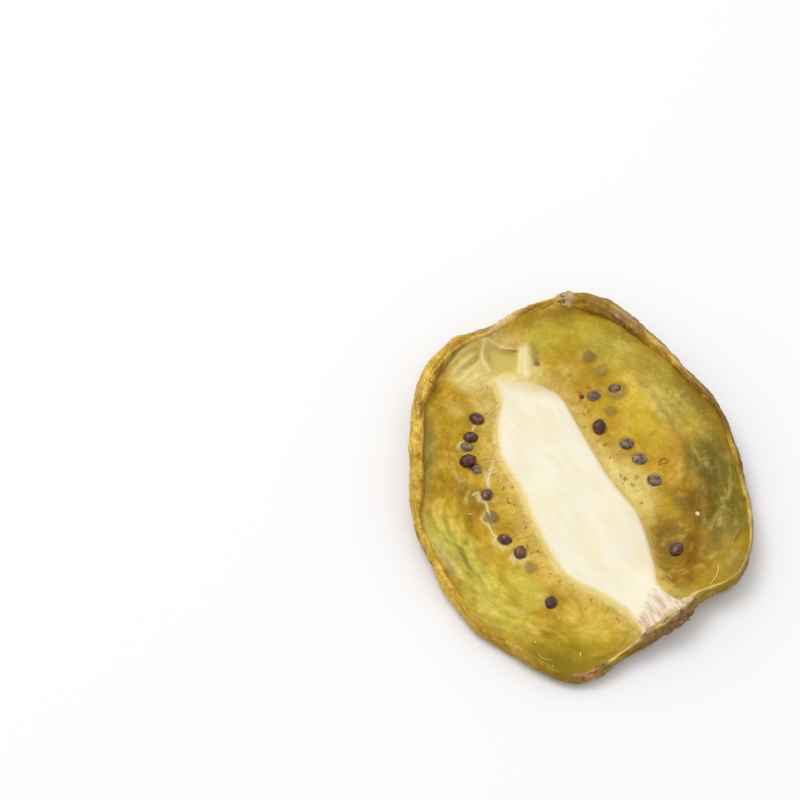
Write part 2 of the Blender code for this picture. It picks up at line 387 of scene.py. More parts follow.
# x, y, turn, length, how far it stands out of the flesh, how grey and dull it is
seedPlaces = (
    (-6.2, 14.6, -50, 2.0, 0.8, 0.25), (-8.3, 12.4, -15, 2.0, 0.75, 0.1),
    (-9.4, 11.2, -40, 1.8, 0.35, 0.85), (-10.5, 8.8, 0, 2.3, 0.9, 0.0), (-10.1, 7.5, -65, 1.8, 0.4, 0.7),
    (-10.8, 3.3, 40, 1.8, 0.65, 0.35), (-12.1, -3.9, -45, 1.9, 0.65, 0.3),
    (-11.3, -6.4, 48, 1.9, 0.75, 0.15), (-11.5, -14.6, 40, 1.8, 0.8, 0.05),
    (9.6, 11.0, -30, 1.9, 0.45, 0.5), (12.5, 10.7, 0, 1.9, 0.4, 0.55), (7.5, 6.2, 58, 2.2, 0.9, 0.0),
    (9.4, 2.2, -15, 2.0, 0.45, 0.7), (9.7, -0.6, -30, 2.0, 0.4, 0.8), (9.5, -4.6, -60, 2.0, 0.5, 0.75),
    (6.5, -14.9, 30, 2.0, 0.6, 0.3), (8.1, 11.8, 60, 0.9, 0.5, 0.0),
)
# Seeds that only show through: x, y, half size, how dark. The one at (12.5, 10.2) is widened into painted
# shade under the seed above it.
seedShadows = (
    (12.0, 16.7, 1.05, 0.62), (12.5, 14.0, 1.0, 0.34), (12.5, 10.2, 1.6, 0.5), (9.6, 11.1, 1.2, 0.4),
    (10.2, 7.7, 1.0, 0.5), (9.4, 2.3, 1.2, 0.5), (9.7, -0.5, 1.2, 0.5), (9.5, -4.5, 1.2, 0.45),
    (10.7, -9.2, 1.4, 0.28), (5.1, 18.7, 0.42, 0.75), (-11.2, -9.0, 1.0, 0.5), (-11.9, -0.1, 1.05, 0.72),
    (-9.4, 11.3, 1.1, 0.5), (-10.2, 7.5, 1.1, 0.45), (-10.8, 3.4, 1.1, 0.35), (6.5, -14.7, 1.35, 0.55),
)
# Rusty specks on the flesh: x, y, half size, strength
specks = (
    (8.4, 15.4, 0.32, 0.7), (8.2, 12.5, 0.35, 0.8), (9.6, 12.7, 0.32, 0.7), (7.9, -2.8, 0.32, 0.6),
    (6.8, -3.7, 0.38, 0.6), (18.7, -6.0, 0.42, 0.9), (7.6, 11.4, 0.28, 0.7),
)
# Pale strands that hold the seeds: half thickness and the points they pass
strandPaths = (
    (0.2, ((-8.1, 6.9), (-8.7, 6.4), (-9.4, 5.4), (-9.9, 4.4), (-10.4, 3.7))),
    (0.16, ((-9.2, 6.6), (-9.6, 5.5), (-9.9, 4.6))),
    (0.13, ((-12.5, 4.0), (-11.7, 4.1), (-11.6, 3.4), (-11.4, 2.7))),
    (0.15, ((-12.3, 3.0), (-11.6, 3.2), (-11.1, 2.8))),
    (0.12, ((-11.8, 3.7), (-11.3, 2.9), (-11.5, 2.2))),
    (0.19, ((-11.4, 2.5), (-11.6, 1.7), (-11.9, 1.0), (-12.0, 0.3))),
    (0.16, ((-13.1, 0.5), (-13.2, -0.1), (-13.0, -0.8))),
    (0.2, ((-12.8, -0.7), (-12.9, -1.7), (-12.9, -2.4), (-12.7, -3.3))),
    (0.15, ((-13.6, -3.8), (-13.1, -3.2), (-12.5, -3.3))),
    (0.16, ((-13.2, -4.5), (-12.7, -5.0), (-12.1, -5.4))),
    (0.14, ((-13.4, -6.9), (-12.6, -6.6), (-11.9, -6.0))),
    (0.13, ((-12.8, -7.5), (-12.3, -6.9), (-11.7, -6.7))),
    (0.15, ((-6.7, 14.0), (-7.3, 13.5), (-7.9, 13.0))),
    (0.14, ((-10.7, 11.4), (-10.1, 12.0), (-9.4, 12.2))),
)
# Frayed film beside a seed: x, y, heading, strength, reach
filmPlaces = (
    (-9.4, 11.2, 200, 0.5, 0.4), (-10.1, 7.5, 250, 0.5, 0.5), (-10.8, 3.3, 225, 0.75, 0.9),
    (-12.1, -3.9, 215, 0.75, 1.0), (-11.3, -6.4, 230, 0.8, 1.1), (-11.5, -14.6, 200, 0.5, 0.4),
    (-11.9, -0.1, 200, 0.6, 0.7), (-6.2, 14.6, 200, 0.5, 0.4), (-8.3, 12.4, 200, 0.4, 0.2),
    (-10.5, 8.8, 180, 0.4, 0.2), (9.4, 2.2, 150, 0.45, 0.4), (9.7, -0.6, 160, 0.55, 0.5),
    (9.5, -4.6, 160, 0.8, 0.8), (-11.2, -9.0, 200, 0.4, 0.4),
)


def filmAround(x, y, frays):
    # the film beside the seeds and along the strands
    film = np.zeros_like(x)
    for sx, sy, heading, strength, reach in filmPlaces:
        facing = smoothStep(0.45 + 0.8 * np.cos(np.arctan2(y - sy, x - sx) - math.radians(heading)))
        near = smoothStep((reach + 1.0 - np.hypot(x - sx, y - sy)) / 0.8) * facing
        film = np.maximum(film, strength * smoothStep(near * (0.7 + 2.2 * frays)))
    for halfThickness, stops in strandPaths:
        away, _ = pathDistance(x, y, smoothPath(stops, 0.4))
        film = np.maximum(film, bell(away / (1.2 * halfThickness)) * smoothStep(0.8 + 1.2 * frays))
    return 0.6 * film


def addPiece(name, mesh):
    piece = bpy.data.objects.new(name, mesh)
    bpy.context.scene.collection.objects.link(piece)
    return piece


def meshFromRings(name, rings, closeRound=False):
    # rings is (rings, columns, 3) in mm; faces point outward for rings that run out over the top
    index = np.arange(rings[..., 0].size).reshape(rings.shape[:2])
    nextColumn = np.roll(index, -1, 1)
    points = rings.reshape(-1, 3)
    if closeRound:
        faces = stacked(index, np.roll(index, -1, 0), np.roll(nextColumn, -1, 0), nextColumn)
        faces = faces.reshape(-1, 4).tolist()
    else:
        faces = stacked(index[:-1], index[1:], nextColumn[1:], nextColumn[:-1]).reshape(-1, 4).tolist()
        top, bottom = len(points), len(points) + 1
        points = np.concatenate([points, rings[:1].mean(1), rings[-1:].mean(1)])
        faces += [[top, a, b] for a, b in zip(index[0], nextColumn[0])]
        faces += [[bottom, b, a] for a, b in zip(index[-1], nextColumn[-1])]
    mesh = bpy.data.meshes.new(name)
    mesh.from_pydata((points * mm).tolist(), [], faces)
    mesh.shade_smooth()
    return addPiece(name, mesh)


def storeValues(mesh, **layers):
    # a number or a vector for every point, by the layer's name
    for name, values in layers.items():
        values = np.asarray(values, np.float32)
        kind, key = ("FLOAT_VECTOR", "vector") if values.ndim > 1 else ("FLOAT", "value")
        mesh.attributes.new(name, kind, "POINT").data.foreach_set(key, values.ravel())


fleshPlan = {
    "columns": 600,
    "topRings": 138,
    "edgeRings": 6,
    "underRings": 14,
    "tuckedIn": 0.52,                   # where the flesh ends inside the lip, as a share of its width
    "leastThickness": 0.5,
    # heights of its relief
    "lumps": 0.1,
    "wrinkles": 0.1,
    "fineWrinkles": 0.035,
    "rimWrinkles": 0.11,                # run along the rim
    "streaks": 0.03,                    # run out from the core
    "coreStep": 0.26,
    "coreBorder": 0.1,
    "coreGrain": 0.01,
    "dryFibres": 0.16,
    "locules": 0.16,
    "shadowBulge": 0.3,                 # over seeds that only show through
    "seedCollar": 0.12,
    "seedDip": 0.22,
    "film": 0.06,
    "underWrinkles": 0.22,
}
# How strong the wrinkles along the rim are, and how far the flesh darkens beside it
rimWrinkleShare = {
    0: 0.5, 40: 0.5, 90: 0.3, 140: 0.7, 170: 1.0, 215: 1.0, 235: 0.6, 255: 0.2, 300: 0.6, 330: 0.65,
}
edgeShadeShare = {
    0: 0.45, 40: 0.3, 60: 0.1, 110: 0.1, 150: 0.35, 172: 0.2, 195: 0.1, 222: 0.2, 240: 0.75, 262: 0.3,
    300: 0.45,
}


def makeFlesh():
    plan = fleshPlan
    columns = plan["columns"]
    step = columns / 96.0
    angles = np.arange(columns) * 360.0 / columns
    turn = np.radians(angles)
    reach, _, under, width = lipAt(angles)
    foot = reach - width
    edge = reach - plan["tuckedIn"] * width
    radius = np.linspace(0.0, 1.0, plan["topRings"] + 1)[1:, None] * edge
    x, y = polar(radius, turn)
    top = rayHeights(*polar(np.minimum(radius, foot - 0.3), turn), True)
    top = smoothAlong(smoothAlong(top, 0.55 * step, 1, True), 2.5, 0, False)
    bottom = rayHeights(x, y, False)
    bottom = np.where(np.isnan(bottom), under, bottom)

    px, py = x.ravel(), y.ravel()
    points = stacked(px, py, 0.0)
    gap, along = coreGaps(px, py)
    share = (radius / foot).ravel()
    angleAll = np.broadcast_to(angles, radius.shape).ravel()
    wobbleX, wobbleY = (0.35 * layeredNoise(points, 1.6, seed, 2) for seed in (21, 22))
    warped = points + 2.0 * stacked(wobbleX, wobbleY, 0.0)
    folds, fine = creasedNoise(warped, 3.4, 31, 2) - 0.5, creasedNoise(warped, 1.3, 35, 2) - 0.5
    lumps = layeredNoise(points, 5.5, 41, 2)
    # short strokes that run along the rim
    strokes = stacked(*polar(rimRadius / 4.6, np.radians(angleAll) + 2.0 * lumps / rimRadius),
                      23.0 * share + 1.2 * lumps)
    nearRim = smoothStep((share - 0.58) / 0.2) * smoothStep((1.02 - share) / 0.05)
    rimFolds = layeredNoise(strokes, 1.0, 45, 3, 0.6) * nearRim * aroundRim(rimWrinkleShare, angleAll)
    # the core, with fibres in its dried end, and the locules beside it
    fading = coreFading(px, py)
    onCore = smoothStep(0.5 - gap / 0.5) * fading
    offCore = 1.0 - onCore
    leftSide = smoothStep((0.1 - px) / 2.0)
    border = bell((gap + 0.2) / 0.35) * (0.3 + 0.7 * leftSide) * fading
    grain = layeredNoise(stacked(px / 0.7, py / 7.0, 0.0), 1.0, 51, 3)
    fibres = creasedNoise(stacked(px / 0.5, py / 6.0, 0.0), 1.0, 61, 2) - 0.5
    dryEnd = smoothStep((-19.0 - py) / 4.5)
    streaks = layeredNoise(stacked(along, 0.14 * gap, 0.0), 0.6, 11, 2) * smoothStep((7.0 - gap) / 4.0)
    locules = bell((gap - 2.8) / 2.2) * smoothStep((19.0 - np.abs(py + 1.5)) / 5.0)
    sunk = pocketDepth(px, py)
    creased, valley = creaseRelief(px + wobbleX, py + wobbleY)
    film = filmAround(px, py, layeredNoise(points, 0.45, 81, 2))
    relief = (plan["lumps"] * lumps * (1.0 - 0.7 * onCore) + plan["rimWrinkles"] * rimFolds
              + (plan["wrinkles"] * folds + plan["fineWrinkles"] * fine + plan["streaks"] * streaks) * offCore
              + (plan["coreStep"] + plan["coreGrain"] * grain + plan["dryFibres"] * fibres * dryEnd) * onCore
              + plan["coreBorder"] * border - plan["locules"] * locules - pocket["depth"] * sunk
              + creased + plan["film"] * film)
    for sx, sy, halfSize, dark in seedShadows:
        relief += plan["shadowBulge"] * dark * smoothStep(1.3 - np.hypot(px - sx, py - sy) / halfSize)
    for sx, sy, _, length, out, _ in seedPlaces:
        away = np.hypot(px - sx, py - sy) / (0.5 * length)
        relief += plan["seedCollar"] * bell((away - 1.2) / 0.3) * (1.2 - out)
        relief -= plan["seedDip"] * smoothStep(1.15 - away) * out
    top = top.ravel() + relief * smoothStep((1.03 - share) / 0.08)
    top = np.maximum(top, bottom.ravel() + plan["leastThickness"])
    topPoints = stacked(px, py, top).reshape(radius.shape + (3,))

    bends = np.linspace(0, np.pi, plan["edgeRings"] + 2)[1:-1, None]
    half = (topPoints[-1, :, 2] - bottom[-1]) / 2.0
    edgeRadius = edge + 0.1 * width * np.sin(bends)
    edgePoints = stacked(*polar(edgeRadius, turn), bottom[-1] + half + half * np.cos(bends))

    ux, uy = polar(np.linspace(1.0, 0.0, plan["underRings"] + 1)[:-1, None] * edge, turn)
    low = rayHeights(ux, uy, False)
    low = np.where(np.isnan(low), under, low)
    low = smoothAlong(smoothAlong(low, 0.5 * step, 1, True), 1.0, 0, False)
    folded = creasedNoise(stacked(ux, uy, 7.0).reshape(-1, 3), 3.2, 71, 3).reshape(ux.shape) - 0.3
    low = low + smoothStep(low / 0.4) * (plan["underWrinkles"] * folded + 0.05)
    underPoints = stacked(ux, uy, np.maximum(low, 0.0))

    piece = meshFromRings("kiwiFlesh", np.concatenate([topPoints, edgePoints, underPoints]))
    mesh = piece.data
    count = len(mesh.vertices)
    allPoints = np.empty(count * 3, np.float32)
    mesh.vertices.foreach_get("co", allPoints)
    allX, allY, _ = allPoints.reshape(-1, 3).T.astype(float) / mm
    allGap, allAlong = coreGaps(allX, allY)
    allTurns, allRadii = np.arctan2(allY, allX), np.hypot(allX, allY)
    allAngles = np.degrees(allTurns)

    def onTop(values, rest=0.0):
        # a value of the cut face; the edge and the underside get the rest value
        return np.concatenate([values, np.full(count - 2 - px.size, rest), [values[:columns].mean(), rest]])

    # the pale folds' lines: partly paler tissue, partly painted highlight
    paleLine = np.zeros_like(px)
    for _, _, halfWidth, strength, stops in paleFolds:
        line = lineAt(px + 0.4 * wobbleX, py, stops, 0.3, halfWidth, 0.2, 0.2)
        paleLine = np.maximum(paleLine, strength * line)
    away, lineShare = pathDistance(px, py, smoothPath(pocket["darkLine"], 0.3))
    # painted light and shade from the relief: lighter on fold crests, darker in the folds and sunken lines,
    # and both along the folds beside the rim
    shade = 1.0 + offCore * (0.11 * folds + 0.09 * fine) - 0.32 * valley + 0.33 * rimFolds
    rust = spotField(px + 0.3 * wobbleX, py + 0.3 * wobbleY, specks, 1.3, 0.8)
    storeValues(mesh, coreGap=allGap, edgeAlong=allAlong, rimShare=allRadii / aroundRim(rimReach, allAngles),
                wrinkled=aroundRim(rimWrinkleShare, allAngles),
                rimPlace=stacked(*polar(rimRadius, allTurns), allRadii),
                fading=onTop(fading), border=onTop(0.25 + 0.75 * leftSide), sunk=onTop(sunk),
                shade=onTop(shade, 1.0), film=onTop(film), paleLine=onTop(paleLine), specks=onTop(rust),
                darkLine=onTop(bell(away / 0.12) * smoothStep((lineShare - 0.25) / 0.75)),
                seedShade=onTop(spotField(px, py, seedShadows, 1.2, 0.6)),
                edgeShade=onTop(aroundRim(edgeShadeShare, angleAll) * smoothStep((share - 0.86) / 0.12)))
    print("flesh: %d points" % count)
    return piece


def gridNormals(rings):
    # outward normals of a closed tube of rings
    along = np.roll(rings, -1, 1) - np.roll(rings, 1, 1)
    across = np.roll(rings, -1, 0) - np.roll(rings, 1, 0)
    normals = np.cross(along, across)
    return normals / np.maximum(np.linalg.norm(normals, axis=2, keepdims=True), 1e-9)


def makeRind():
    plan = rimPlan
    angles = np.arange(plan["columns"]) * 360.0 / plan["columns"]
    turn = np.radians(angles)
    reach, crest, under, width = lipAt(angles)
    overhang, point, roughness, groove, paleCrest, darkOutside = (
        aroundRim(plan[name], angles)
        for name in ("overhang", "point", "roughness", "groove", "paleCrest", "darkOutside"))
    # round the lip's section, where 0 is outward and a quarter turn is up
    around = (np.arange(plan["turns"]) * 2.0 * np.pi / plan["turns"])[:, None]
    cosine, sine = np.cos(around), np.sin(around)
    halfWidth, halfHeight = width / 2.0, (crest - under) / 2.0 + 0.05
    across = np.sign(cosine) * np.abs(cosine) ** point * halfWidth
    across = across - overhang * smoothStep(-cosine) * smoothStep(sine + 0.3)
    rise = np.sign(sine) * np.abs(sine) ** point * halfHeight
    rings = stacked(*polar(reach - halfWidth + across, turn), (crest + under) / 2.0 + rise)

    shape = rings.shape[:2]
    points = rings.reshape(-1, 3)
    flat = lambda values: np.broadcast_to(values, shape).ravel()
    arc = flat(around)
    arcDegrees = np.degrees(arc)
    roundX, roundY = polar(rimRadius, flat(turn))
    arcLength = arc * flat((halfWidth + halfHeight) / 2.0)
    wander = 0.35 * layeredNoise(points, 2.2, 95, 2)
    lumps = layeredNoise(points, 2.8, 101, 3)
    onRim = stacked(roundX / 4.0, roundY / 4.0, (arcLength + wander) / 0.5)
    longFolds = 0.8 * layeredNoise(onRim, 1.0, 111, 3)
    crossFolds = creasedNoise(stacked(roundX + wander, roundY + wander, arcLength / 2.0), 1.0, 121, 2)
    grain = creasedNoise(points, 0.4, 131, 2)
    groove = flat(groove) * bell((arcDegrees - 88.0) / 20.0)
    crust = spotField(points[:, 0], points[:, 1], crustPlaces, 1.2, 0.5) / 0.3
    nodules = creasedNoise(points, 0.8, 141, 2) - 0.2
    room = np.minimum(flat(np.minimum(halfWidth, halfHeight)) / 0.7, 1.0)
    wrinkles = plan["longWrinkles"] * longFolds + plan["crossWrinkles"] * (crossFolds - 0.55)
    relief = room * (plan["lumps"] * lumps + flat(roughness) * wrinkles + plan["grain"] * (grain - 0.5)
                     + plan["crusts"] * crust * nodules - groove)
    rings = rings + gridNormals(rings) * relief.reshape(shape)[..., None]
    rings[..., 2] = np.maximum(rings[..., 2], 0.05)
    piece = meshFromRings("kiwiRind", rings[::-1], closeRound=True)
    outward = np.cos(arc)
    values = {
        "outward": outward,
        "outside": flat(darkOutside) * smoothStep((outward - 0.05) / 0.35),
        "longFolds": 0.5 + longFolds,
        "crossFolds": 0.6 * crossFolds + 0.4 * grain,
        "crust": crust,
        "groove": groove / 0.2,
        "paleCrest": flat(paleCrest) * bell((arcDegrees - 92.0 + 20.0 * wander) / 24.0),
    }
    storeValues(piece.data, **{name: value.reshape(shape)[::-1].ravel() for name, value in values.items()},
                rimPlace=stacked(roundX, roundY, arcLength).reshape(shape + (3,))[::-1])
    print("rind: %d points" % len(points))
    return piece


# Nodes. Small helpers keep each tree short; most find their tree from the socket they are given.
def fill(node, values):
    # links the sockets and sets the plain values among a node's inputs
    for key, value in values.items():
        if isinstance(value, bpy.types.NodeSocket):
            node.id_data.links.new(value, node.inputs[key])
        else:
            node.inputs[key].default_value = value


def addNode(tree, kind, inputs=None, **settings):
    node = tree.nodes.new(kind)
    for key, value in settings.items():
        setattr(node, key, value)
    fill(node, inputs or {})
    return node


def valuesOf(tree, *names):
    return [addNode(tree, "ShaderNodeAttribute", attribute_name=name).outputs["Fac"] for name in names]


def placeOf(tree, name):
    return addNode(tree, "ShaderNodeAttribute", attribute_name=name).outputs["Vector"]


def fit(value, low, high, toLow=0.0, toHigh=1.0):
    return addNode(value.id_data, "ShaderNodeMapRange", {
        "Value": value, "From Min": low, "From Max": high, "To Min": toLow, "To Max": toHigh,
    }, interpolation_type="SMOOTHSTEP").outputs["Result"]


def maths(operation, a, b=0.0):
    tree = (a if isinstance(a, bpy.types.NodeSocket) else b).id_data
    return addNode(tree, "ShaderNodeMath", {0: a, 1: b}, operation=operation).outputs[0]


def times(*values):
    result = values[0]
    for value in values[1:]:
        result = maths("MULTIPLY", result, value)
    return result


def plus(*values):
    result = values[0]
    for value in values[1:]:
        result = maths("ADD", result, value)
    return result


def shaded(colour, *amounts):
    return addNode(colour.id_data, "ShaderNodeVectorMath", {0: colour, "Scale": times(*amounts)},
                   operation="SCALE").outputs["Vector"]


def mixed(share, a, b):
    # a Mix node's colours are its inputs 6 and 7, and the mixed colour is its output 2
    a, b = (value if isinstance(value, bpy.types.NodeSocket) else (*value, 1.0) for value in (a, b))
    return addNode(share.id_data, "ShaderNodeMix", {0: share, 6: a, 7: b}, data_type="RGBA").outputs[2]


def layered(colour, palette, *layers):
    # lays colours over each other: a share and a colour's name for each layer
    for share, name in layers:
        colour = mixed(share, colour, palette[name])
    return colour


def noiseOf(place, scale, detail=2.0, roughness=0.5, stretch=None):
    if stretch:
        place = addNode(place.id_data, "ShaderNodeVectorMath", {0: place, 1: stretch},
                        operation="MULTIPLY").outputs[0]
    return addNode(place.id_data, "ShaderNodeTexNoise", {
        "Vector": place, "Scale": scale, "Detail": detail, "Roughness": roughness}).outputs["Fac"]


def bumpOf(height, strength, distance):
    return addNode(height.id_data, "ShaderNodeBump", {
        "Height": height, "Strength": strength, "Distance": distance * mm}).outputs["Normal"]


def newGroup(name, treeKind, inputs, output):
    # a node group with named inputs and one output: the group, the inputs, the output's end, and the
    # identifiers that a modifier sets its inputs by
    group = bpy.data.node_groups.new(name, treeKind)
    identifiers = {}
    for label, kind in inputs:
        socket = group.interface.new_socket(label, in_out="INPUT", socket_type="NodeSocket" + kind)
        identifiers[label] = socket.identifier
    group.interface.new_socket(output[0], in_out="OUTPUT", socket_type="NodeSocket" + output[1])
    start = group.nodes.new("NodeGroupInput").outputs
    return group, start, group.nodes.new("NodeGroupOutput"), identifiers


def makeSoftSpotGroup():
    # an oval field of colour with a ragged edge
    group, start, end, _ = newGroup("softSpot", "ShaderNodeTree", (
        ("Place", "Vector"), ("Uneven", "Float"), ("Centre", "Vector"), ("Turn", "Vector"),
        ("Half Sizes", "Vector"), ("Ragged", "Float")), ("Mask", "Float"))
    flat = addNode(group, "ShaderNodeVectorMath", {0: start["Place"], 1: (1.0, 1.0, 0.0)},
                   operation="MULTIPLY")
    local = addNode(group, "ShaderNodeMapping", {
        "Vector": flat.outputs[0], "Location": start["Centre"], "Rotation": start["Turn"],
        "Scale": start["Half Sizes"]}, vector_type="TEXTURE")
    away = addNode(group, "ShaderNodeVectorMath", {0: local.outputs[0]},
                   operation="LENGTH").outputs["Value"]
    wavy = times(maths("SUBTRACT", start["Uneven"], 0.5), start["Ragged"])
    fill(end, {"Mask": fit(plus(away, wavy), 1.15, 0.25)})
    return group


def makeGlintGroup():
    # small wet-looking facets: a mask that is 1 in scattered flecks of about one size
    group, start, end, _ = newGroup("wetFlecks", "ShaderNodeTree", (
        ("Place", "Vector"), ("Fineness", "Float"), ("Rarity", "Float")), ("Mask", "Float"))
    flecks = noiseOf(start["Place"], start["Fineness"], 2.0, 0.6)
    fill(end, {"Mask": fit(maths("SUBTRACT", flecks, start["Rarity"]), 0.0, 0.05)})
    return group


softSpot, wetFlecks = makeSoftSpotGroup(), makeGlintGroup()


def addSpots(place, colour, palette, spots, ragged):
    # spots are (colour, x, y, half sizes, turn, strength)
    uneven = noiseOf(place, 240.0, 4.0, 0.6)
    for name, x, y, halfX, halfY, turn, strength in spots:
        spot = addNode(place.id_data, "ShaderNodeGroup", {
            "Place": place, "Uneven": uneven, "Centre": (x * mm, y * mm, 0.0),
            "Turn": (0.0, 0.0, math.radians(turn)), "Half Sizes": (halfX * mm, halfY * mm, 1.0),
            "Ragged": ragged}, node_tree=softSpot)
        colour = mixed(times(spot.outputs["Mask"], strength), colour, palette[name])
    return colour


def glintsOf(place, fineness, rarity, zone):
    # the zone says how wet each part of the surface is
    flecks = addNode(place.id_data, "ShaderNodeGroup", {
        "Place": place, "Fineness": fineness, "Rarity": rarity}, node_tree=wetFlecks)
    return times(flecks.outputs["Mask"], zone)


def newMaterial(name):
    material = bpy.data.materials.new(name)
    material.use_nodes = True
    tree = material.node_tree
    place = addNode(tree, "ShaderNodeTexCoord").outputs["Object"]
    return material, tree, tree.nodes["Principled BSDF"], place


fleshColours = {
    "gold": (0.55, 0.35, 0.014),
    "sun": (0.62, 0.425, 0.03),
    "limeBright": (0.61, 0.52, 0.075),
    "lime": (0.53, 0.42, 0.042),
    "moss": (0.43, 0.33, 0.04),
    "olive": (0.38, 0.265, 0.004),
    "darkOlive": (0.23, 0.165, 0.003),
    "honey": (0.48, 0.268, 0.012),
    "amber": (0.32, 0.175, 0.003),
    "deepAmber": (0.31, 0.14, 0.001),
    "brown": (0.25, 0.135, 0.004),
    "darkGreen": (0.155, 0.12, 0.009),
    "greyGreen": (0.34, 0.26, 0.045),
    "straw": (0.6, 0.41, 0.045),
    "tan": (0.68, 0.51, 0.135),
    "paleGreen": (0.67, 0.52, 0.125),
    "palest": (0.8, 0.64, 0.22),
    # next: the pale folds' colour, partly painted highlight
    "ridgePale": (0.89, 0.77, 0.4),
    "pocketFloor": (0.69, 0.56, 0.15),
    "cream": (0.9, 0.84, 0.67),
    "creamShade": (0.88, 0.8, 0.56),
    "edgeYellow": (0.88, 0.72, 0.3),
    "seedGrey": (0.13, 0.095, 0.045),
    "stalkPink": (0.54, 0.3, 0.17),
    "stalkWhite": (0.92, 0.82, 0.62),
    "film": (0.82, 0.7, 0.38),
    "stain": (0.4, 0.12, 0.014),
    # next: the colour of the painted shadow line under the pocket's top edge
    "pocketEdgeShadow": (0.1, 0.04, 0.008),
}
# Fields of colour on the flesh: colour, x, y, half sizes, turn, strength
fleshSpots = (
    ("honey", -12.2, 10.0, 2.8, 5.0, 18, 0.85), ("brown", -12.9, 4.2, 2.2, 4.6, 6, 0.8),
    ("limeBright", -18.2, -4.0, 3.3, 10.5, 8, 0.95), ("lime", -17.6, -14.0, 3.6, 6.0, 22, 0.9),
    ("greyGreen", -14.9, 12.0, 1.3, 8.0, -26, 0.85), ("olive", -13.6, -21.8, 8.0, 4.4, 28, 0.95),
    ("darkOlive", -16.4, -24.1, 4.6, 1.8, 38, 0.7), ("honey", -10.3, -14.7, 3.0, 3.6, 0, 0.6),
    ("straw", -8.4, -19.2, 4.0, 3.6, 0, 0.85), ("straw", -10.2, -25.5, 3.2, 1.4, -8, 0.75),
    ("paleGreen", -4.0, 21.7, 5.2, 3.4, -18, 0.9), ("palest", -3.6, 20.4, 3.4, 2.8, 0, 0.9),
    ("paleGreen", 4.6, 18.6, 2.0, 4.0, 8, 0.7), ("lime", 8.0, 21.0, 4.4, 3.2, 0, 0.8),
    ("paleGreen", 8.4, 16.2, 2.0, 2.2, 0, 0.5), ("honey", 10.6, 18.2, 2.8, 2.6, 0, 0.75),
    ("lime", 15.0, 18.1, 3.8, 7.0, 40, 0.85), ("brown", 12.2, 12.6, 2.0, 4.6, 6, 0.5),
    ("sun", 13.5, 5.6, 2.5, 8.0, 6, 0.9), ("moss", 18.4, 5.6, 3.2, 9.5, 6, 0.9),
    ("paleGreen", 15.8, 8.6, 1.1, 4.2, 10, 0.55), ("tan", 7.8, -2.6, 2.2, 6.6, 4, 0.8),
    ("palest", 6.0, -3.6, 2.2, 7.6, 3, 0.95), ("darkGreen", 17.4, -6.6, 4.6, 6.6, 10, 0.97),
    ("darkGreen", 14.2, -13.2, 5.2, 5.6, 25, 0.97), ("brown", 12.0, -9.6, 3.2, 5.6, 12, 0.78),
    ("brown", 6.9, -13.2, 4.4, 5.8, 0, 0.97), ("amber", 7.6, -17.8, 5.0, 4.0, 20, 0.95),
    ("deepAmber", 4.4, -19.4, 3.4, 2.6, 30, 0.7), ("greyGreen", 11.4, -17.2, 2.6, 1.8, 40, 0.55),
    ("greyGreen", 11.2, -20.6, 3.4, 1.7, 20, 0.75), ("straw", -9.0, 1.8, 1.6, 4.6, 8, 0.7),
    ("palest", 0.8, 18.0, 4.2, 2.6, -20, 0.85), ("palest", 1.8, 23.6, 5.0, 1.5, -24, 0.65),
    ("palest", 4.0, 19.6, 1.1, 2.8, 22, 0.8), ("straw", -6.2, 10.5, 1.4, 4.6, -16, 0.7),
    ("straw", -9.3, -6.0, 1.6, 4.4, 5, 0.5), ("limeBright", -13.0, -11.6, 2.4, 4.4, 15, 0.75),
    ("tan", 5.9, -7.6, 1.3, 3.2, 2, 0.8), ("deepAmber", 8.4, -15.6, 2.8, 2.0, 35, 0.75),
    ("brown", 20.4, 2.4, 1.5, 7.6, 0, 0.9), ("brown", 20.4, -4.8, 1.0, 3.6, -8, 0.6),
    # the amber strip at (9.6, 23.9) is painted shade under the far rim
    ("amber", 17.4, 17.6, 1.2, 4.4, 45, 0.45), ("amber", 9.6, 23.9, 4.4, 0.8, -14, 0.45),
    ("greyGreen", 13.8, -14.6, 2.4, 2.0, 30, 0.6), ("darkGreen", 19.0, -4.4, 1.2, 3.2, -8, 0.55),
    ("palest", -20.2, -3.6, 1.0, 4.4, 6, 0.8), ("paleGreen", 16.0, 4.2, 1.3, 5.0, 6, 0.45),
    ("amber", -9.4, 20.9, 1.8, 0.9, -35, 0.55), ("darkGreen", 15.4, -11.2, 1.6, 2.2, 10, 0.55),
    ("amber", 4.0, -16.4, 1.3, 3.0, 10, 0.6), ("paleGreen", -8.0, 16.6, 1.8, 1.6, 0, 0.6),
    ("palest", -4.6, 16.4, 1.8, 1.8, 0, 0.55), ("moss", 14.6, 15.5, 3.0, 6.0, 25, 0.5),
)
# Marks on the dried end of the core
stalkSpots = (
    ("stalkPink", -1.9, -22.9, 1.7, 0.9, -30, 0.6), ("stalkWhite", 0.5, -23.0, 1.6, 0.9, -30, 0.8),
    ("stalkPink", 1.8, -23.9, 1.4, 0.5, 15, 0.6), ("stalkWhite", -3.1, -24.0, 1.2, 0.8, 0, 0.6),
)
fleshFinish = {
    "Specular IOR Level": 0.12,
    "Coat Roughness": 0.14,
    "Subsurface Weight": 0.25,
    "Subsurface Radius": (1.0, 0.6, 0.12),
    "Subsurface Scale": 0.5 * mm,
}


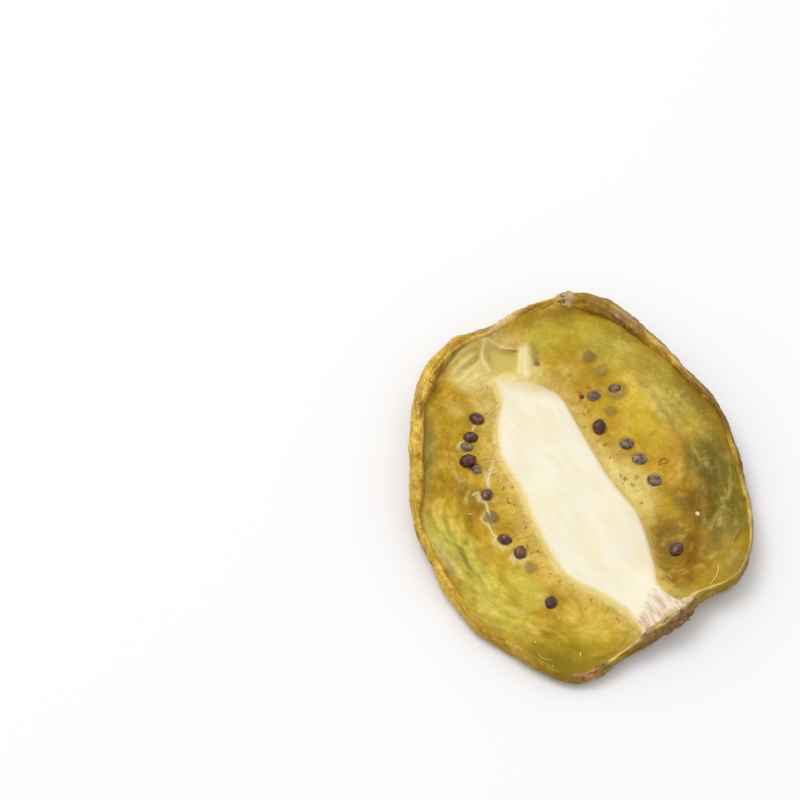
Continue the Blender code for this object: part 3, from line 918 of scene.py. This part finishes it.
def makeFleshMaterial():
    material, tree, shader, place = newMaterial("kiwiFlesh")
    c = fleshColours
    gap, along, fading, border, rimShare, wrinkled = valuesOf(
        tree, "coreGap", "edgeAlong", "fading", "border", "rimShare", "wrinkled")
    shade, paleLine, rust, edgeShade, film, sunk, darkLine, seedShade = valuesOf(
        tree, "shade", "paleLine", "specks", "edgeShade", "film", "sunk", "darkLine", "seedShade")
    clouds = noiseOf(place, 210.0, 3.0)
    colour = mixed(fit(clouds, 0.38, 0.66), c["gold"], c["honey"])
    colour = layered(colour, c, (fit(gap, 3.4, 0.6, 0.0, 0.6), "tan"))
    colour = addSpots(place, colour, c, fleshSpots, 0.9)
    # fine texture: threads that run out from the core, strokes along the rim, and mottling. The strokes' pale
    # tops are painted glints and their low parts painted shade, following their bump.
    threads = addNode(tree, "ShaderNodeCombineXYZ", {"X": along, "Y": times(gap, 0.16)}).outputs[0]
    streaks = noiseOf(threads, 2.6, 4.0, 0.65)
    nearCore = fit(gap, 7.5, 1.5)
    strokes = noiseOf(placeOf(tree, "rimPlace"), 1.0, 5.0, 0.6, (0.22, 0.22, 1.3))
    nearRim = times(fit(rimShare, 0.55, 0.85), wrinkled)
    mottling = noiseOf(place, 820.0, 5.0, 0.68)
    grains = noiseOf(place, 2600.0, 3.0, 0.6)
    colour = layered(colour, c,
                     (times(fit(streaks, 0.5, 0.74, 0.0, 0.24), nearCore), "tan"),
                     (times(fit(strokes, 0.52, 0.7, 0.0, 0.4), nearRim), "palest"),
                     (fit(mottling, 0.52, 0.76, 0.0, 0.34), "paleGreen"))
    darkStreaks = fit(times(maths("SUBTRACT", streaks, 0.5), nearCore), -0.18, 0.0, 0.86, 1.0)
    darkStrokes = fit(times(maths("SUBTRACT", strokes, 0.5), nearRim), -0.18, 0.0, 0.78, 1.0)
    patchy = times(fit(mottling, 0.28, 0.72, 0.93, 1.07), fit(grains, 0.3, 0.7, 0.93, 1.06))
    colour = shaded(colour, darkStreaks, darkStrokes, patchy)
    # wrinkles with painted highlight on their crests and painted shade in their creases and sunken lines, the
    # pale fold lines, and small rusty stains beside the core
    stains = times(fit(noiseOf(place, 1050.0, 2.0, 0.5), 0.62, 0.68, 0.0, 0.75),
                   fit(gap, 3.6, 1.8), fit(gap, 0.1, 0.5), fading)
    colour = layered(shaded(colour, shade), c,
                     (fit(shade, 1.04, 1.25, 0.0, 0.3), "palest"),
                     (fit(shade, 0.95, 0.7, 0.0, 0.3), "brown"),
                     (paleLine, "ridgePale"), (stains, "stain"), (rust, "stain"),
                     (edgeShade, "darkOlive"), (film, "film"))
    # the core, whose upper end fades into the flesh
    patches = noiseOf(place, 380.0, 4.0, 0.6, (1.0, 0.4, 1.0))
    core = mixed(fit(patches, 0.4, 0.66), c["cream"], c["creamShade"])
    core = shaded(core, fit(noiseOf(place, 1500.0, 4.0, 0.6, (1.0, 0.1, 1.0)), 0.3, 0.55, 0.96, 1.0))
    fringe = maths("SUBTRACT", plus(streaks, times(mottling, 1.4)), 1.2)
    ragged = plus(gap, times(fringe, border, 0.8))
    colour = layered(colour, c, (times(fit(ragged, 0.7, 0.1, 0.0, 0.8), fading, border), "edgeYellow"))
    colour = mixed(times(fit(ragged, 0.1, -0.75), fading), colour, core)
    north = addNode(tree, "ShaderNodeSeparateXYZ", {0: place}).outputs["Y"]
    dryEnd = times(fit(north, -19.5 * mm, -23.0 * mm), fit(gap, 0.3, -0.3))
    bands = noiseOf(place, 1100.0, 3.0, 0.6, (1.0, 0.12, 1.0))
    colour = layered(colour, c, (dryEnd, "stalkWhite"),
                     (times(dryEnd, fit(bands, 0.52, 0.66, 0.0, 0.6)), "stalkPink"))
    colour = addSpots(place, colour, c, stalkSpots, 1.2)
    # the pocket's floor and the painted shadow line under its top edge; seeds that only show through
    colour = layered(colour, c, (times(sunk, 0.85), "pocketFloor"), (times(darkLine, 0.85), "pocketEdgeShadow"),
                     (seedShade, "seedGrey"))
    rough = maths("MAXIMUM", fit(mottling, 0.3, 0.7, 0.34, 0.52), fit(gap, 0.2, -0.6, 0.0, 0.65))
    wet = times(fit(gap, 0.5, 3.0), fit(rimShare, 0.8, 0.97, 0.0, 0.7))
    offCore = maths("SUBTRACT", 1.0, times(fit(gap, 0.3, -0.4), fading))
    height = plus(times(streaks, nearCore, offCore, 0.5), times(mottling, offCore, 0.6),
                  times(strokes, nearRim, 1.4), times(dryEnd, bands, 1.6))
    fill(shader, {"Base Color": colour, "Roughness": rough, "Coat Weight": glintsOf(place, 5200.0, 0.66, wet),
                  "Normal": bumpOf(height, 0.8, 0.16), **fleshFinish})
    return material


rindColours = {
    "gold": (0.82, 0.54, 0.085),
    "ochre": (0.52, 0.285, 0.016),
    "caramel": (0.52, 0.29, 0.018),
    "rust": (0.34, 0.145, 0.006),
    "brown": (0.215, 0.098, 0.012),
    "umber": (0.165, 0.095, 0.05),
    "darkBrown": (0.085, 0.04, 0.008),
    "olive": (0.25, 0.165, 0.004),
    "paleEdge": (0.84, 0.71, 0.36),
    "grey": (0.56, 0.48, 0.27),
    "pink": (0.5, 0.25, 0.12),
    "slate": (0.17, 0.135, 0.06),
    "mauve": (0.3, 0.175, 0.11),
    "cream": (0.86, 0.72, 0.46),
    "ropePink": (0.74, 0.52, 0.22),
    "amber": (0.38, 0.21, 0.006),
}
# Fields of colour on the rim
rindSpots = (
    ("caramel", -21.2, 6.4, 2.4, 4.0, -8, 0.65), ("ochre", -19.4, -14.5, 3.4, 7.0, 18, 0.7),
    ("amber", -15.9, -22.0, 4.6, 4.6, 30, 0.8), ("olive", -13.6, -24.6, 5.4, 2.8, 25, 0.85),
    ("rust", -12.2, 17.8, 2.8, 1.3, 40, 0.8), ("rust", -19.8, 2.5, 1.0, 2.6, 0, 0.4),
    ("gold", -4.4, 23.9, 3.6, 1.6, 10, 0.8), ("ropePink", 2.8, 25.1, 4.2, 1.8, 0, 0.85),
    ("rust", 8.8, 24.6, 4.4, 1.2, -10, 0.7), ("caramel", 14.8, 24.6, 3.0, 2.4, 0, 0.6),
    ("brown", 16.4, 22.6, 2.2, 3.6, 45, 0.6), ("brown", 19.0, 17.6, 3.2, 4.4, 40, 0.75),
    ("caramel", 20.4, 11.8, 2.0, 3.8, 20, 0.5), ("brown", 22.3, 1.5, 3.4, 9.5, 0, 0.92),
    ("brown", 21.1, -8.5, 3.4, 6.0, -20, 0.75), ("amber", 13.6, -21.0, 5.0, 3.0, 35, 0.7),
    ("cream", 1.6, -24.0, 3.4, 1.3, 12, 0.85), ("grey", 12.8, 24.8, 1.6, 1.3, 0, 0.95),
    ("mauve", 18.2, 19.2, 2.0, 1.2, -45, 0.85), ("pink", 19.4, 18.7, 0.8, 0.6, 0, 0.9),
    ("pink", -12.7, -25.3, 2.1, 1.3, -8, 1.0), ("slate", -10.4, -25.3, 1.5, 1.3, 10, 0.95),
    ("mauve", -3.9, -24.8, 1.9, 1.2, 20, 0.9), ("pink", 16.4, -18.1, 1.2, 0.8, 40, 0.5),
)
# Fields of colour on its outer wall
outsideSpots = (
    ("umber", -0.5, -25.0, 5.0, 3.5, 10, 1.0), ("brown", 20.0, -6.0, 5.0, 12.0, -10, 0.9),
    ("mauve", -3.7, -25.8, 2.0, 1.6, 20, 0.8), ("pink", -12.7, -25.3, 2.1, 1.3, -8, 0.9),
    ("slate", -10.4, -25.3, 1.5, 1.3, 10, 0.9), ("brown", 20.0, 10.0, 5.0, 12.0, 10, 0.8),
)
rindFinish = {
    "Specular IOR Level": 0.1,
    "Coat Roughness": 0.14,
    "Subsurface Weight": 0.2,
    "Subsurface Radius": (1.0, 0.5, 0.12),
    "Subsurface Scale": 0.4 * mm,
}


def makeRindMaterial():
    material, tree, shader, place = newMaterial("kiwiRind")
    c = rindColours
    outside, outward, longFolds, crossFolds, groove, paleCrest, crust = valuesOf(
        tree, "outside", "outward", "longFolds", "crossFolds", "groove", "paleCrest", "crust")
    onRim = placeOf(tree, "rimPlace")
    clouds = noiseOf(place, 420.0, 4.0, 0.6)
    speckles = noiseOf(place, 1500.0, 4.0, 0.65)
    crinkles = noiseOf(onRim, 1.0, 5.0, 0.66, (0.55, 0.55, 2.1))
    cracks = noiseOf(onRim, 1.0, 4.0, 0.62, (1.7, 1.7, 0.7))
    colour = mixed(fit(clouds, 0.44, 0.68), c["gold"], c["ochre"])
    colour = addSpots(place, colour, c, rindSpots, 0.9)
    outer = addSpots(place, c["olive"], c, outsideSpots, 0.9)
    colour = mixed(times(outside, fit(speckles, 0.3, 0.62, 1.0, 0.75)), colour, outer)
    # the brown on the lip's inner side, where it meets the flesh, is painted shade
    colour = layered(colour, c,
                     (fit(outward, -0.62, -0.99, 0.0, 0.4), "brown"),
                     (fit(longFolds, 0.44, 0.14, 0.0, 0.48), "rust"),
                     (fit(crossFolds, 0.32, 0.06, 0.0, 0.4), "rust"),
                     (fit(crinkles, 0.56, 0.72, 0.0, 0.45), "paleEdge"),
                     (fit(speckles, 0.56, 0.76, 0.0, 0.4), "rust"))
    # pale on the crinkles' tops and darker in their hollows and cracks, following the bump: partly the rim's
    # own colour, partly painted highlight and shade
    colour = shaded(colour, fit(crinkles, 0.3, 0.56, 0.7, 1.03), fit(cracks, 0.3, 0.48, 0.84, 1.0),
                    fit(speckles, 0.3, 0.7, 1.12, 0.88))
    colour = layered(colour, c,
                     (times(groove, 0.7), "darkBrown"),
                     (times(paleCrest, fit(crinkles, 0.36, 0.56, 0.2, 0.95)), "paleEdge"),
                     (times(crust, fit(crossFolds, 0.34, 0.12, 0.0, 0.7)), "darkBrown"))
    rough = plus(fit(speckles, 0.3, 0.7, 0.36, 0.56), times(crust, 0.25))
    height = plus(times(crinkles, 1.4), times(speckles, 0.6), times(cracks, 0.8))
    glints = glintsOf(place, 2400.0, 0.58, fit(crust, 0.5, 0.1, 0.1, 0.9))
    fill(shader, {"Base Color": colour, "Roughness": rough, "Coat Weight": glints,
                  "Normal": bumpOf(height, 0.9, 0.2), **rindFinish})
    return material


seedColours = {
    "coat": (0.03, 0.008, 0.007),
    "coatLight": (0.24, 0.055, 0.036),
    "film": (0.12, 0.07, 0.04),
    "filmLight": (0.42, 0.31, 0.19),
}


def makeSeedMaterial():
    material, tree, shader, place = newMaterial("kiwiSeed")
    c = seedColours
    dull, = valuesOf(tree, "dull")
    blotches = noiseOf(place, 1500.0, 3.0, 0.6)
    coat = mixed(fit(blotches, 0.38, 0.8), c["coat"], c["coatLight"])
    film = mixed(fit(blotches, 0.36, 0.74), c["film"], c["filmLight"])
    pits = addNode(tree, "ShaderNodeTexVoronoi", {"Vector": place, "Scale": 4200.0}).outputs["Distance"]
    fill(shader, {"Base Color": mixed(times(dull, fit(blotches, 0.25, 0.6, 0.55, 1.0)), coat, film),
                  "Roughness": plus(times(dull, 0.25), 0.27), "Normal": bumpOf(pits, 0.35, 0.06)})
    return material


# Fibres, beads and scrap: two colours, roughness, and how the flecks of the second are stretched
fibreFinishes = {
    "strandPale": ((0.78, 0.62, 0.27), (0.86, 0.76, 0.46), 0.35, None),
    "hairPale": ((0.8, 0.63, 0.24), (0.88, 0.76, 0.4), 0.35, None),
    "stalkPale": ((0.72, 0.5, 0.34), (0.95, 0.88, 0.7), 0.6, (1.0, 0.1, 1.0)),
    "sugarPale": ((0.62, 0.5, 0.16), (0.8, 0.7, 0.36), 0.18, None),
    "scrapBrown": ((0.52, 0.24, 0.05), (0.34, 0.13, 0.02), 0.45, None),
}


def makeFibreMaterial(name):
    first, second, roughness, stretch = fibreFinishes[name]
    material, _, shader, place = newMaterial(name)
    flecks = noiseOf(place, 1700.0, 3.0, 0.6, stretch)
    fill(shader, {"Base Color": mixed(fit(flecks, 0.35, 0.65), first, second),
                  "Roughness": fit(flecks, 0.3, 0.7, roughness, roughness + 0.2),
                  "Specular IOR Level": 0.15, "Normal": bumpOf(flecks, 0.3, 0.05)})
    return material


def newGeometryTree(name, *inputs):
    return newGroup(name, "GeometryNodeTree", (("Geometry", "Geometry"), *inputs, ("Finish", "Material")),
                    ("Geometry", "Geometry"))


def finishTree(group, geometry, finish, end):
    real = addNode(group, "GeometryNodeRealizeInstances", {"Geometry": geometry})
    smooth = addNode(group, "GeometryNodeSetShadeSmooth", {"Geometry": real.outputs["Geometry"]})
    coloured = addNode(group, "GeometryNodeSetMaterial", {
        "Geometry": smooth.outputs["Geometry"], "Material": finish})
    fill(end, {"Geometry": coloured.outputs["Geometry"]})


def makeShapesOnPoints():
    # sets a copy of one shape on every point, turned and sized by the point's own values
    group, start, end, identifiers = newGeometryTree(
        "shapesOnPoints", ("Shape", "Object"), ("Fullness", "Float"))
    shape = addNode(group, "GeometryNodeObjectInfo", {"Object": start["Shape"]})
    turn, size = (addNode(group, "GeometryNodeInputNamedAttribute", {"Name": name}, data_type="FLOAT_VECTOR")
                  for name in ("turn", "size"))
    scaled = addNode(group, "ShaderNodeVectorMath", {
        0: size.outputs["Attribute"], "Scale": start["Fullness"]}, operation="SCALE")
    rotation = addNode(group, "FunctionNodeEulerToRotation", {"Euler": turn.outputs["Attribute"]})
    copies = addNode(group, "GeometryNodeInstanceOnPoints", {
        "Points": start["Geometry"], "Instance": shape.outputs["Geometry"],
        "Rotation": rotation.outputs["Rotation"], "Scale": scaled.outputs["Vector"]})
    finishTree(group, copies.outputs["Instances"], start["Finish"], end)
    return group, identifiers


def makeStrandsAlongEdges():
    # turns each chain of edges into a round strand whose radius is the points' own value
    group, start, end, identifiers = newGeometryTree(
        "strandsAlongEdges", ("Thickness", "Float"), ("Sides", "Int"))
    curve = addNode(group, "GeometryNodeMeshToCurve", {"Mesh": start["Geometry"]})
    thick = addNode(group, "GeometryNodeInputNamedAttribute", {"Name": "thick"}, data_type="FLOAT")
    profile = addNode(group, "GeometryNodeCurvePrimitiveCircle", {
        "Resolution": start["Sides"], "Radius": 1.0})
    tube = addNode(group, "GeometryNodeCurveToMesh", {
        "Curve": curve.outputs["Curve"], "Profile Curve": profile.outputs["Curve"],
        "Scale": times(thick.outputs["Attribute"], start["Thickness"]), "Fill Caps": True})
    finishTree(group, tube.outputs["Mesh"], start["Finish"], end)
    return group, identifiers


shapesOnPoints, strandsAlongEdges = makeShapesOnPoints(), makeStrandsAlongEdges()


def growPiece(piece, treeAndInputs, values):
    # runs a geometry tree on the piece and keeps the result as its own plain mesh
    modifier = piece.modifiers.new("grow", "NODES")
    modifier.node_group, identifiers = treeAndInputs
    for label, value in values.items():
        modifier[identifiers[label]] = value
    graph = bpy.context.evaluated_depsgraph_get()
    mesh = bpy.data.meshes.new_from_object(piece.evaluated_get(graph), preserve_all_data_layers=True,
                                           depsgraph=graph)
    piece.modifiers.clear()
    piece.data = mesh
    print("%s: %d faces" % (piece.name, len(mesh.polygons)))
    return piece


def surfaceFinder(*pieces):
    trees = [BVHTree.FromObject(piece, bpy.context.evaluated_depsgraph_get()) for piece in pieces]

    def find(x, y):
        # the highest surface at a place, in mm, and its normal
        best, normal = -1.0, upward
        for tree in trees:
            hit = tree.ray_cast(Vector((x, y, 20.0)) * mm, -upward)
            if hit[0] is not None and hit[0].z / mm > best:
                best, normal = hit[0].z / mm, hit[1]
        return best, normal

    return find


def turnOnSlope(normal, heading):
    # the turn that lays a shape on a slope, its length pointing along the heading
    above = (normal + upward).normalized()
    ahead = Vector((math.cos(math.radians(heading)), math.sin(math.radians(heading)), 0.0))
    side = above.cross(ahead).normalized()
    return Matrix((side.cross(above), side, above)).transposed().to_euler()[:]


def roundShape(name, subdivisions, radius, bulge=None):
    shape = bmesh.new()
    bmesh.ops.create_icosphere(shape, subdivisions=subdivisions, radius=radius)
    if bulge:
        bulge(shape.verts)
    mesh = bpy.data.meshes.new(name)
    shape.to_mesh(mesh)
    shape.free()
    mesh.shade_smooth()
    return addPiece(name, mesh)


def shrivel(vertices):
    # makes a ball a plump drop with a shrivelled coat
    points = np.array([v.co[:] for v in vertices])
    coat = 0.075 * (creasedNoise(points, 0.26, 201, 2) - 0.5) + 0.05 * layeredNoise(points, 0.5, 203, 1)
    for vertex, bulge in zip(vertices, coat):
        x, y, z = vertex.co
        taper = (1.0 - 0.2 * x - 0.22 * x * x) * (1.0 + bulge)
        vertex.co = Vector((x * (1.0 + bulge), y * taper, z * taper))


def scatter(name, shape, finish, places, **layers):
    # copies of a shape at the places, with a turn, a size and other values for each
    points = bpy.data.meshes.new(name)
    points.from_pydata(places, [], [])
    storeValues(points, **layers)
    piece = growPiece(addPiece(name, points), shapesOnPoints,
                      {"Shape": shape, "Fullness": 1.0, "Finish": finish})
    bpy.data.objects.remove(shape)
    return piece


seedShape = {"width": 0.76, "thickness": 0.64}       # as shares of a seed's length


def makeSeeds(find):
    source = roundShape("seedShape", 5, 0.5, shrivel)
    places, turns, sizes, dulls = [], [], [], []
    for x, y, turn, length, out, dull in seedPlaces:
        height, normal = find(x, y)
        thickness = seedShape["thickness"] * length
        places.append(((Vector((x, y, height)) + normal * (out - 0.5) * thickness) * mm)[:])
        turns.append(turnOnSlope(normal, turn))
        sizes.append((length * mm, seedShape["width"] * length * mm, thickness * mm))
        dulls.append(dull)
    return scatter("kiwiSeeds", source, makeSeedMaterial(), places, turn=turns, size=sizes, dull=dulls)


def makeStrands(name, strands, material, sides=8):
    # strands is a list of (points in mm, half thickness at each point)
    points, edges, thick = [], [], []
    for line, radius in strands:
        first = len(points)
        points += (line * mm).tolist()
        thick += (radius * mm).tolist()
        edges += [(first + i, first + i + 1) for i in range(len(line) - 1)]
    mesh = bpy.data.meshes.new(name)
    mesh.from_pydata(points, edges, [])
    storeValues(mesh, thick=thick)
    return growPiece(addPiece(name, mesh), strandsAlongEdges,
                     {"Thickness": 1.0, "Sides": sides, "Finish": makeFibreMaterial(material)})


def layStrand(find, stops, halfThickness, lift, step=0.15, arch=0.0):
    # a strand that lies on the surface, thinner towards its ends
    line = smoothPath(stops, step)
    share = np.linspace(0.0, 1.0, len(line))
    heights = np.array([find(x, y)[0] for x, y in line])
    found = heights > 0.0
    line, share, heights = line[found], share[found], heights[found]
    heights = smoothAlong(heights, 1.0, 0, False) + lift * halfThickness + arch * np.sin(np.pi * share)
    radius = halfThickness * (0.25 + 0.75 * np.sin(np.pi * np.clip(share * 0.9 + 0.05, 0, 1)) ** 0.6)
    return np.column_stack([line, heights]), radius


threadPlan = {
    "perStrand": 3,
    "spread": 0.1,
    "thickness": (0.16, 0.34),          # as a share of the strand's
    "lift": (-0.4, 0.1),                # in half thicknesses
}


def makeSeedStrands(find):
    # fine threads from seed to seed
    plan = threadPlan
    random = np.random.default_rng(3)
    strands = []
    for halfThickness, stops in strandPaths:
        for _ in range(plan["perStrand"]):
            moved = np.array(stops) + random.normal(0.0, plan["spread"], (len(stops), 2))
            thin = halfThickness * random.uniform(*plan["thickness"])
            strands.append(layStrand(find, moved, thin, random.uniform(*plan["lift"])))
    return makeStrands("seedStrands", strands, "strandPale")


hairPlan = {
    # each side of the core: side, count, mean heading, length
    "sides": ((-1, 46, 188.0, (1.0, 3.2)), (1, 9, -8.0, (0.7, 1.9))),
    "topY": 15.5,
    "spanY": 32.0,
    "crowding": 1.6,                    # above 1 they crowd towards the top
    "headingSpread": 24.0,
    "bendSpread": 28.0,
    "halfThickness": (0.012, 0.024),
    "arch": (0.0, 0.04),
}
# Single hairs: half thickness and the points they pass
hairPaths = (
    (0.055, ((-5.0, 14.9), (-3.5, 15.4), (-2.0, 16.0))),
    (0.05, ((-5.1, 14.4), (-3.6, 14.7), (-2.1, 15.1))),
    (0.045, ((-5.2, 13.9), (-3.8, 14.0), (-2.6, 14.3))), (0.07, ((-8.8, 9.0), (-7.7, 8.4), (-6.2, 7.5))),
    (0.06, ((-9.0, 8.2), (-7.6, 7.6), (-6.4, 6.8))), (0.055, ((-7.6, 10.4), (-6.9, 9.6), (-5.8, 9.2))),
    (0.06, ((-9.0, 6.7), (-8.1, 6.4), (-6.8, 6.5))), (0.055, ((-8.3, -2.1), (-8.2, -2.8), (-7.6, -3.2))),
    (0.06, ((-11.0, -3.3), (-10.4, -4.3), (-9.2, -4.7), (-7.8, -4.4))),
    (0.085, ((9.6, -19.5), (9.0, -20.5), (8.0, -21.4), (6.8, -22.1))),
    (0.055, ((3.6, -17.6), (3.4, -18.3), (3.3, -18.9))),
    (0.055, ((-11.7, -15.5), (-11.6, -16.4), (-11.9, -17.4))),
    (0.06, ((-16.6, -20.4), (-16.4, -21.4), (-15.4, -22.0))), (0.06, ((-15.7, -22.6), (-16.3, -23.6))),
    (0.11, ((-11.8, -22.5), (-12.1, -23.1))), (0.12, ((-14.3, 1.8), (-13.9, 1.4))),
)


def makeHairs(find):
    # hairs that leave the core's edge and bend over the flesh, and a few loose ones
    plan = hairPlan
    random = np.random.default_rng(11)
    strands = [layStrand(find, stops, 0.7 * halfThickness, 0.4, arch=0.03)
               for halfThickness, stops in hairPaths]
    for side, count, heading, lengths in plan["sides"]:
        for _ in range(count):
            y = plan["topY"] - plan["spanY"] * random.uniform(0.0, 1.0) ** plan["crowding"]
            left, right = coreSides(np.array([y]))
            x = float((left if side < 0 else right)[0]) - 0.15 * side
            direction = math.radians(random.normal(heading, plan["headingSpread"]))
            length = random.uniform(*lengths)
            bend = math.radians(random.normal(0.0, plan["bendSpread"]))
            stops = [(x, y)]
            for part in range(3):
                x += math.cos(direction) * length / 3.0
                y += math.sin(direction) * length / 3.0
                direction += bend
                stops.append((x, y))
            thin = random.uniform(*plan["halfThickness"])
            strands.append(layStrand(find, stops, thin, 0.2, 0.2, random.uniform(*plan["arch"])))
    return makeStrands("coreHairs", strands, "hairPale", 6)


stalkPlan = {
    "count": 110,
    "across": (0.02, 0.96),             # their places between the core's two sides
    "sway": 0.14,
    "halfThickness": (0.04, 0.12),
    "lift": (-0.5, 0.2),                # in half thicknesses
}


def makeStalkFibres(find):
    # the core's dried end: stiff fibres that draw together and fold over the rim
    plan = stalkPlan
    random = np.random.default_rng(23)
    strands = []
    for _ in range(plan["count"]):
        across = random.uniform(*plan["across"])
        stops = []
        start = -22.7 + 4.4 * across * random.uniform(0.4, 1.0)
        end = random.uniform(-24.4, -24.0) + 0.8 * across * across
        for y in (start, 0.6 * start - 9.4, end + 0.8, end):
            left, right = coreSides(np.array([y]))
            sway = random.normal(0.0, plan["sway"])
            stops.append((float(left[0] + across * (right[0] - left[0])) + sway, y))
        thin = random.uniform(*plan["halfThickness"])
        strands.append(layStrand(find, stops, thin, random.uniform(*plan["lift"]), 0.2))
    return makeStrands("stalkFibres", strands, "stalkPale", 6)


beadPlan = {
    # single ones: x, y, half size
    "places": ((11.7, -11.5, 0.34), (-9.1, 17.5, 0.12), (-17.1, 8.7, 0.1), (-16.1, -19.0, 0.14),
               (-18.7, -18.7, 0.12)),
    # bands of fine ones: angles, shares of the rim's reach, count
    "bands": (((-50, 75), (0.8, 0.94), 60), ((150, 250), (0.86, 0.99), 60), ((90, 150), (0.9, 0.98), 20)),
    "halfSize": (0.025, 0.065),
}


def makeBeads(find):
    # glassy beads and dried sugar: pale points on the flesh near the rim
    plan = beadPlan
    random = np.random.default_rng(31)
    source = roundShape("beadShape", 2, 1.0)
    spots = list(plan["places"])
    for angleRange, shares, count in plan["bands"]:
        for _ in range(count):
            angle = random.uniform(*angleRange)
            radius = float(aroundRim(rimReach, np.array([angle]))[0]) * random.uniform(*shares)
            spots.append((*polar(radius, math.radians(angle)), random.uniform(*plan["halfSize"])))
    places, turns, sizes = [], [], []
    for x, y, size in spots:
        height, _ = find(x, y)
        places.append((x * mm, y * mm, (height + 0.15 * size) * mm))
        turns.append((0.0, 0.0, random.uniform(0.0, 6.3)))
        sizes.append((size * mm, size * random.uniform(0.7, 1.4) * mm, size * 0.6 * mm))
    return scatter("sugarBeads", source, makeFibreMaterial("sugarPale"), places, turn=turns, size=sizes)


# A shrivelled scrap of skin
scrapPath = (
    (11.3, -2.7), (11.6, -2.2), (12.2, -1.9), (12.7, -2.2), (12.6, -2.7), (12.0, -2.8), (11.7, -2.5),
)


def makeScrap(find):
    return makeStrands("skinScrap", [layStrand(find, scrapPath, 0.1, 0.8, 0.08)], "scrapBrown")


def dress(piece, material=None):
    if material:
        piece.data.materials.append(material)
    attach(piece, "root")


floorPlan = {"colour": (0.925, 0.925, 0.94), "reach": 3000.0}


def makeFloor():
    bpy.ops.mesh.primitive_plane_add(size=2.0 * floorPlan["reach"] * mm, location=(0.0, 0.0, 0.0))
    floor = bpy.context.object
    floor.name = "floor"
    material, _, shader, _ = newMaterial("floorWhite")
    fill(shader, {"Base Color": (*floorPlan["colour"], 1.0), "Roughness": 0.9, "Specular IOR Level": 0.1})
    floor.data.materials.append(material)


lightPlan = {
    "skyDim": 0.74,                     # the sky's strength overhead and in front
    "skyBright": 0.88,                  # and low down behind the slice
    "keyPower": 1.8,                    # watts
    "keySize": 360.0,
    "keyPlace": (-140.0, 325.0, 625.0),
    "keyColour": (1.0, 0.99, 0.97),
}


def makeLights():
    # a sky that is brightest low down behind the slice, and one broad lamp from behind
    plan = lightPlan
    world = bpy.data.worlds.new("studio")
    world.use_nodes = True
    tree = world.node_tree
    direction = addNode(tree, "ShaderNodeTexCoord").outputs["Generated"]
    north = addNode(tree, "ShaderNodeSeparateXYZ", {0: direction}).outputs["Y"]
    fill(tree.nodes["Background"], {"Color": (1.0, 1.0, 1.0, 1.0),
                                    "Strength": fit(north, -0.2, 0.9, plan["skyDim"], plan["skyBright"])})
    bpy.context.scene.world = world
    lamp = bpy.data.lights.new("keyLight", "AREA")
    lamp.energy = plan["keyPower"]
    lamp.size = plan["keySize"] * mm
    lamp.color = plan["keyColour"]
    light = addPiece("keyLight", lamp)
    light.location = Vector(plan["keyPlace"]) * mm
    light.rotation_euler = light.location.to_track_quat("Z", "Y").to_euler()


photoView = {
    "lens": 100.0,
    "azimuth": -27.0,
    "elevation": 52.0,
    "distance": 296.3,
    "lookAt": (-13.08, 23.29, 0.0),     # the slice lies low and right of the frame's middle
}


def makeCamera():
    view = photoView
    turn, rise = math.radians(view["azimuth"]), math.radians(view["elevation"])
    back = Vector((math.sin(turn) * math.cos(rise), -math.cos(turn) * math.cos(rise), math.sin(rise)))
    lens = bpy.data.cameras.new("camera")
    lens.lens = view["lens"]
    lens.clip_start = 0.01
    camera = addPiece("camera", lens)
    camera.location = (Vector(view["lookAt"]) + back * view["distance"]) * mm
    camera.rotation_euler = back.to_track_quat("Z", "Y").to_euler()
    bpy.context.scene.camera = camera


bpy.context.scene.view_settings.view_transform = "Standard"
makeCamera()
makeLights()
makeFloor()
flesh = makeFlesh()
rind = makeRind()
onFlesh, onSlice = surfaceFinder(flesh), surfaceFinder(flesh, rind)
dress(flesh, makeFleshMaterial())
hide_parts(nodeName)
dress(rind, makeRindMaterial())
dress(makeSeeds(onFlesh))
dress(makeSeedStrands(onFlesh))
dress(makeHairs(onFlesh))
dress(makeStalkFibres(onSlice))
dress(makeBeads(onSlice))
dress(makeScrap(onFlesh))
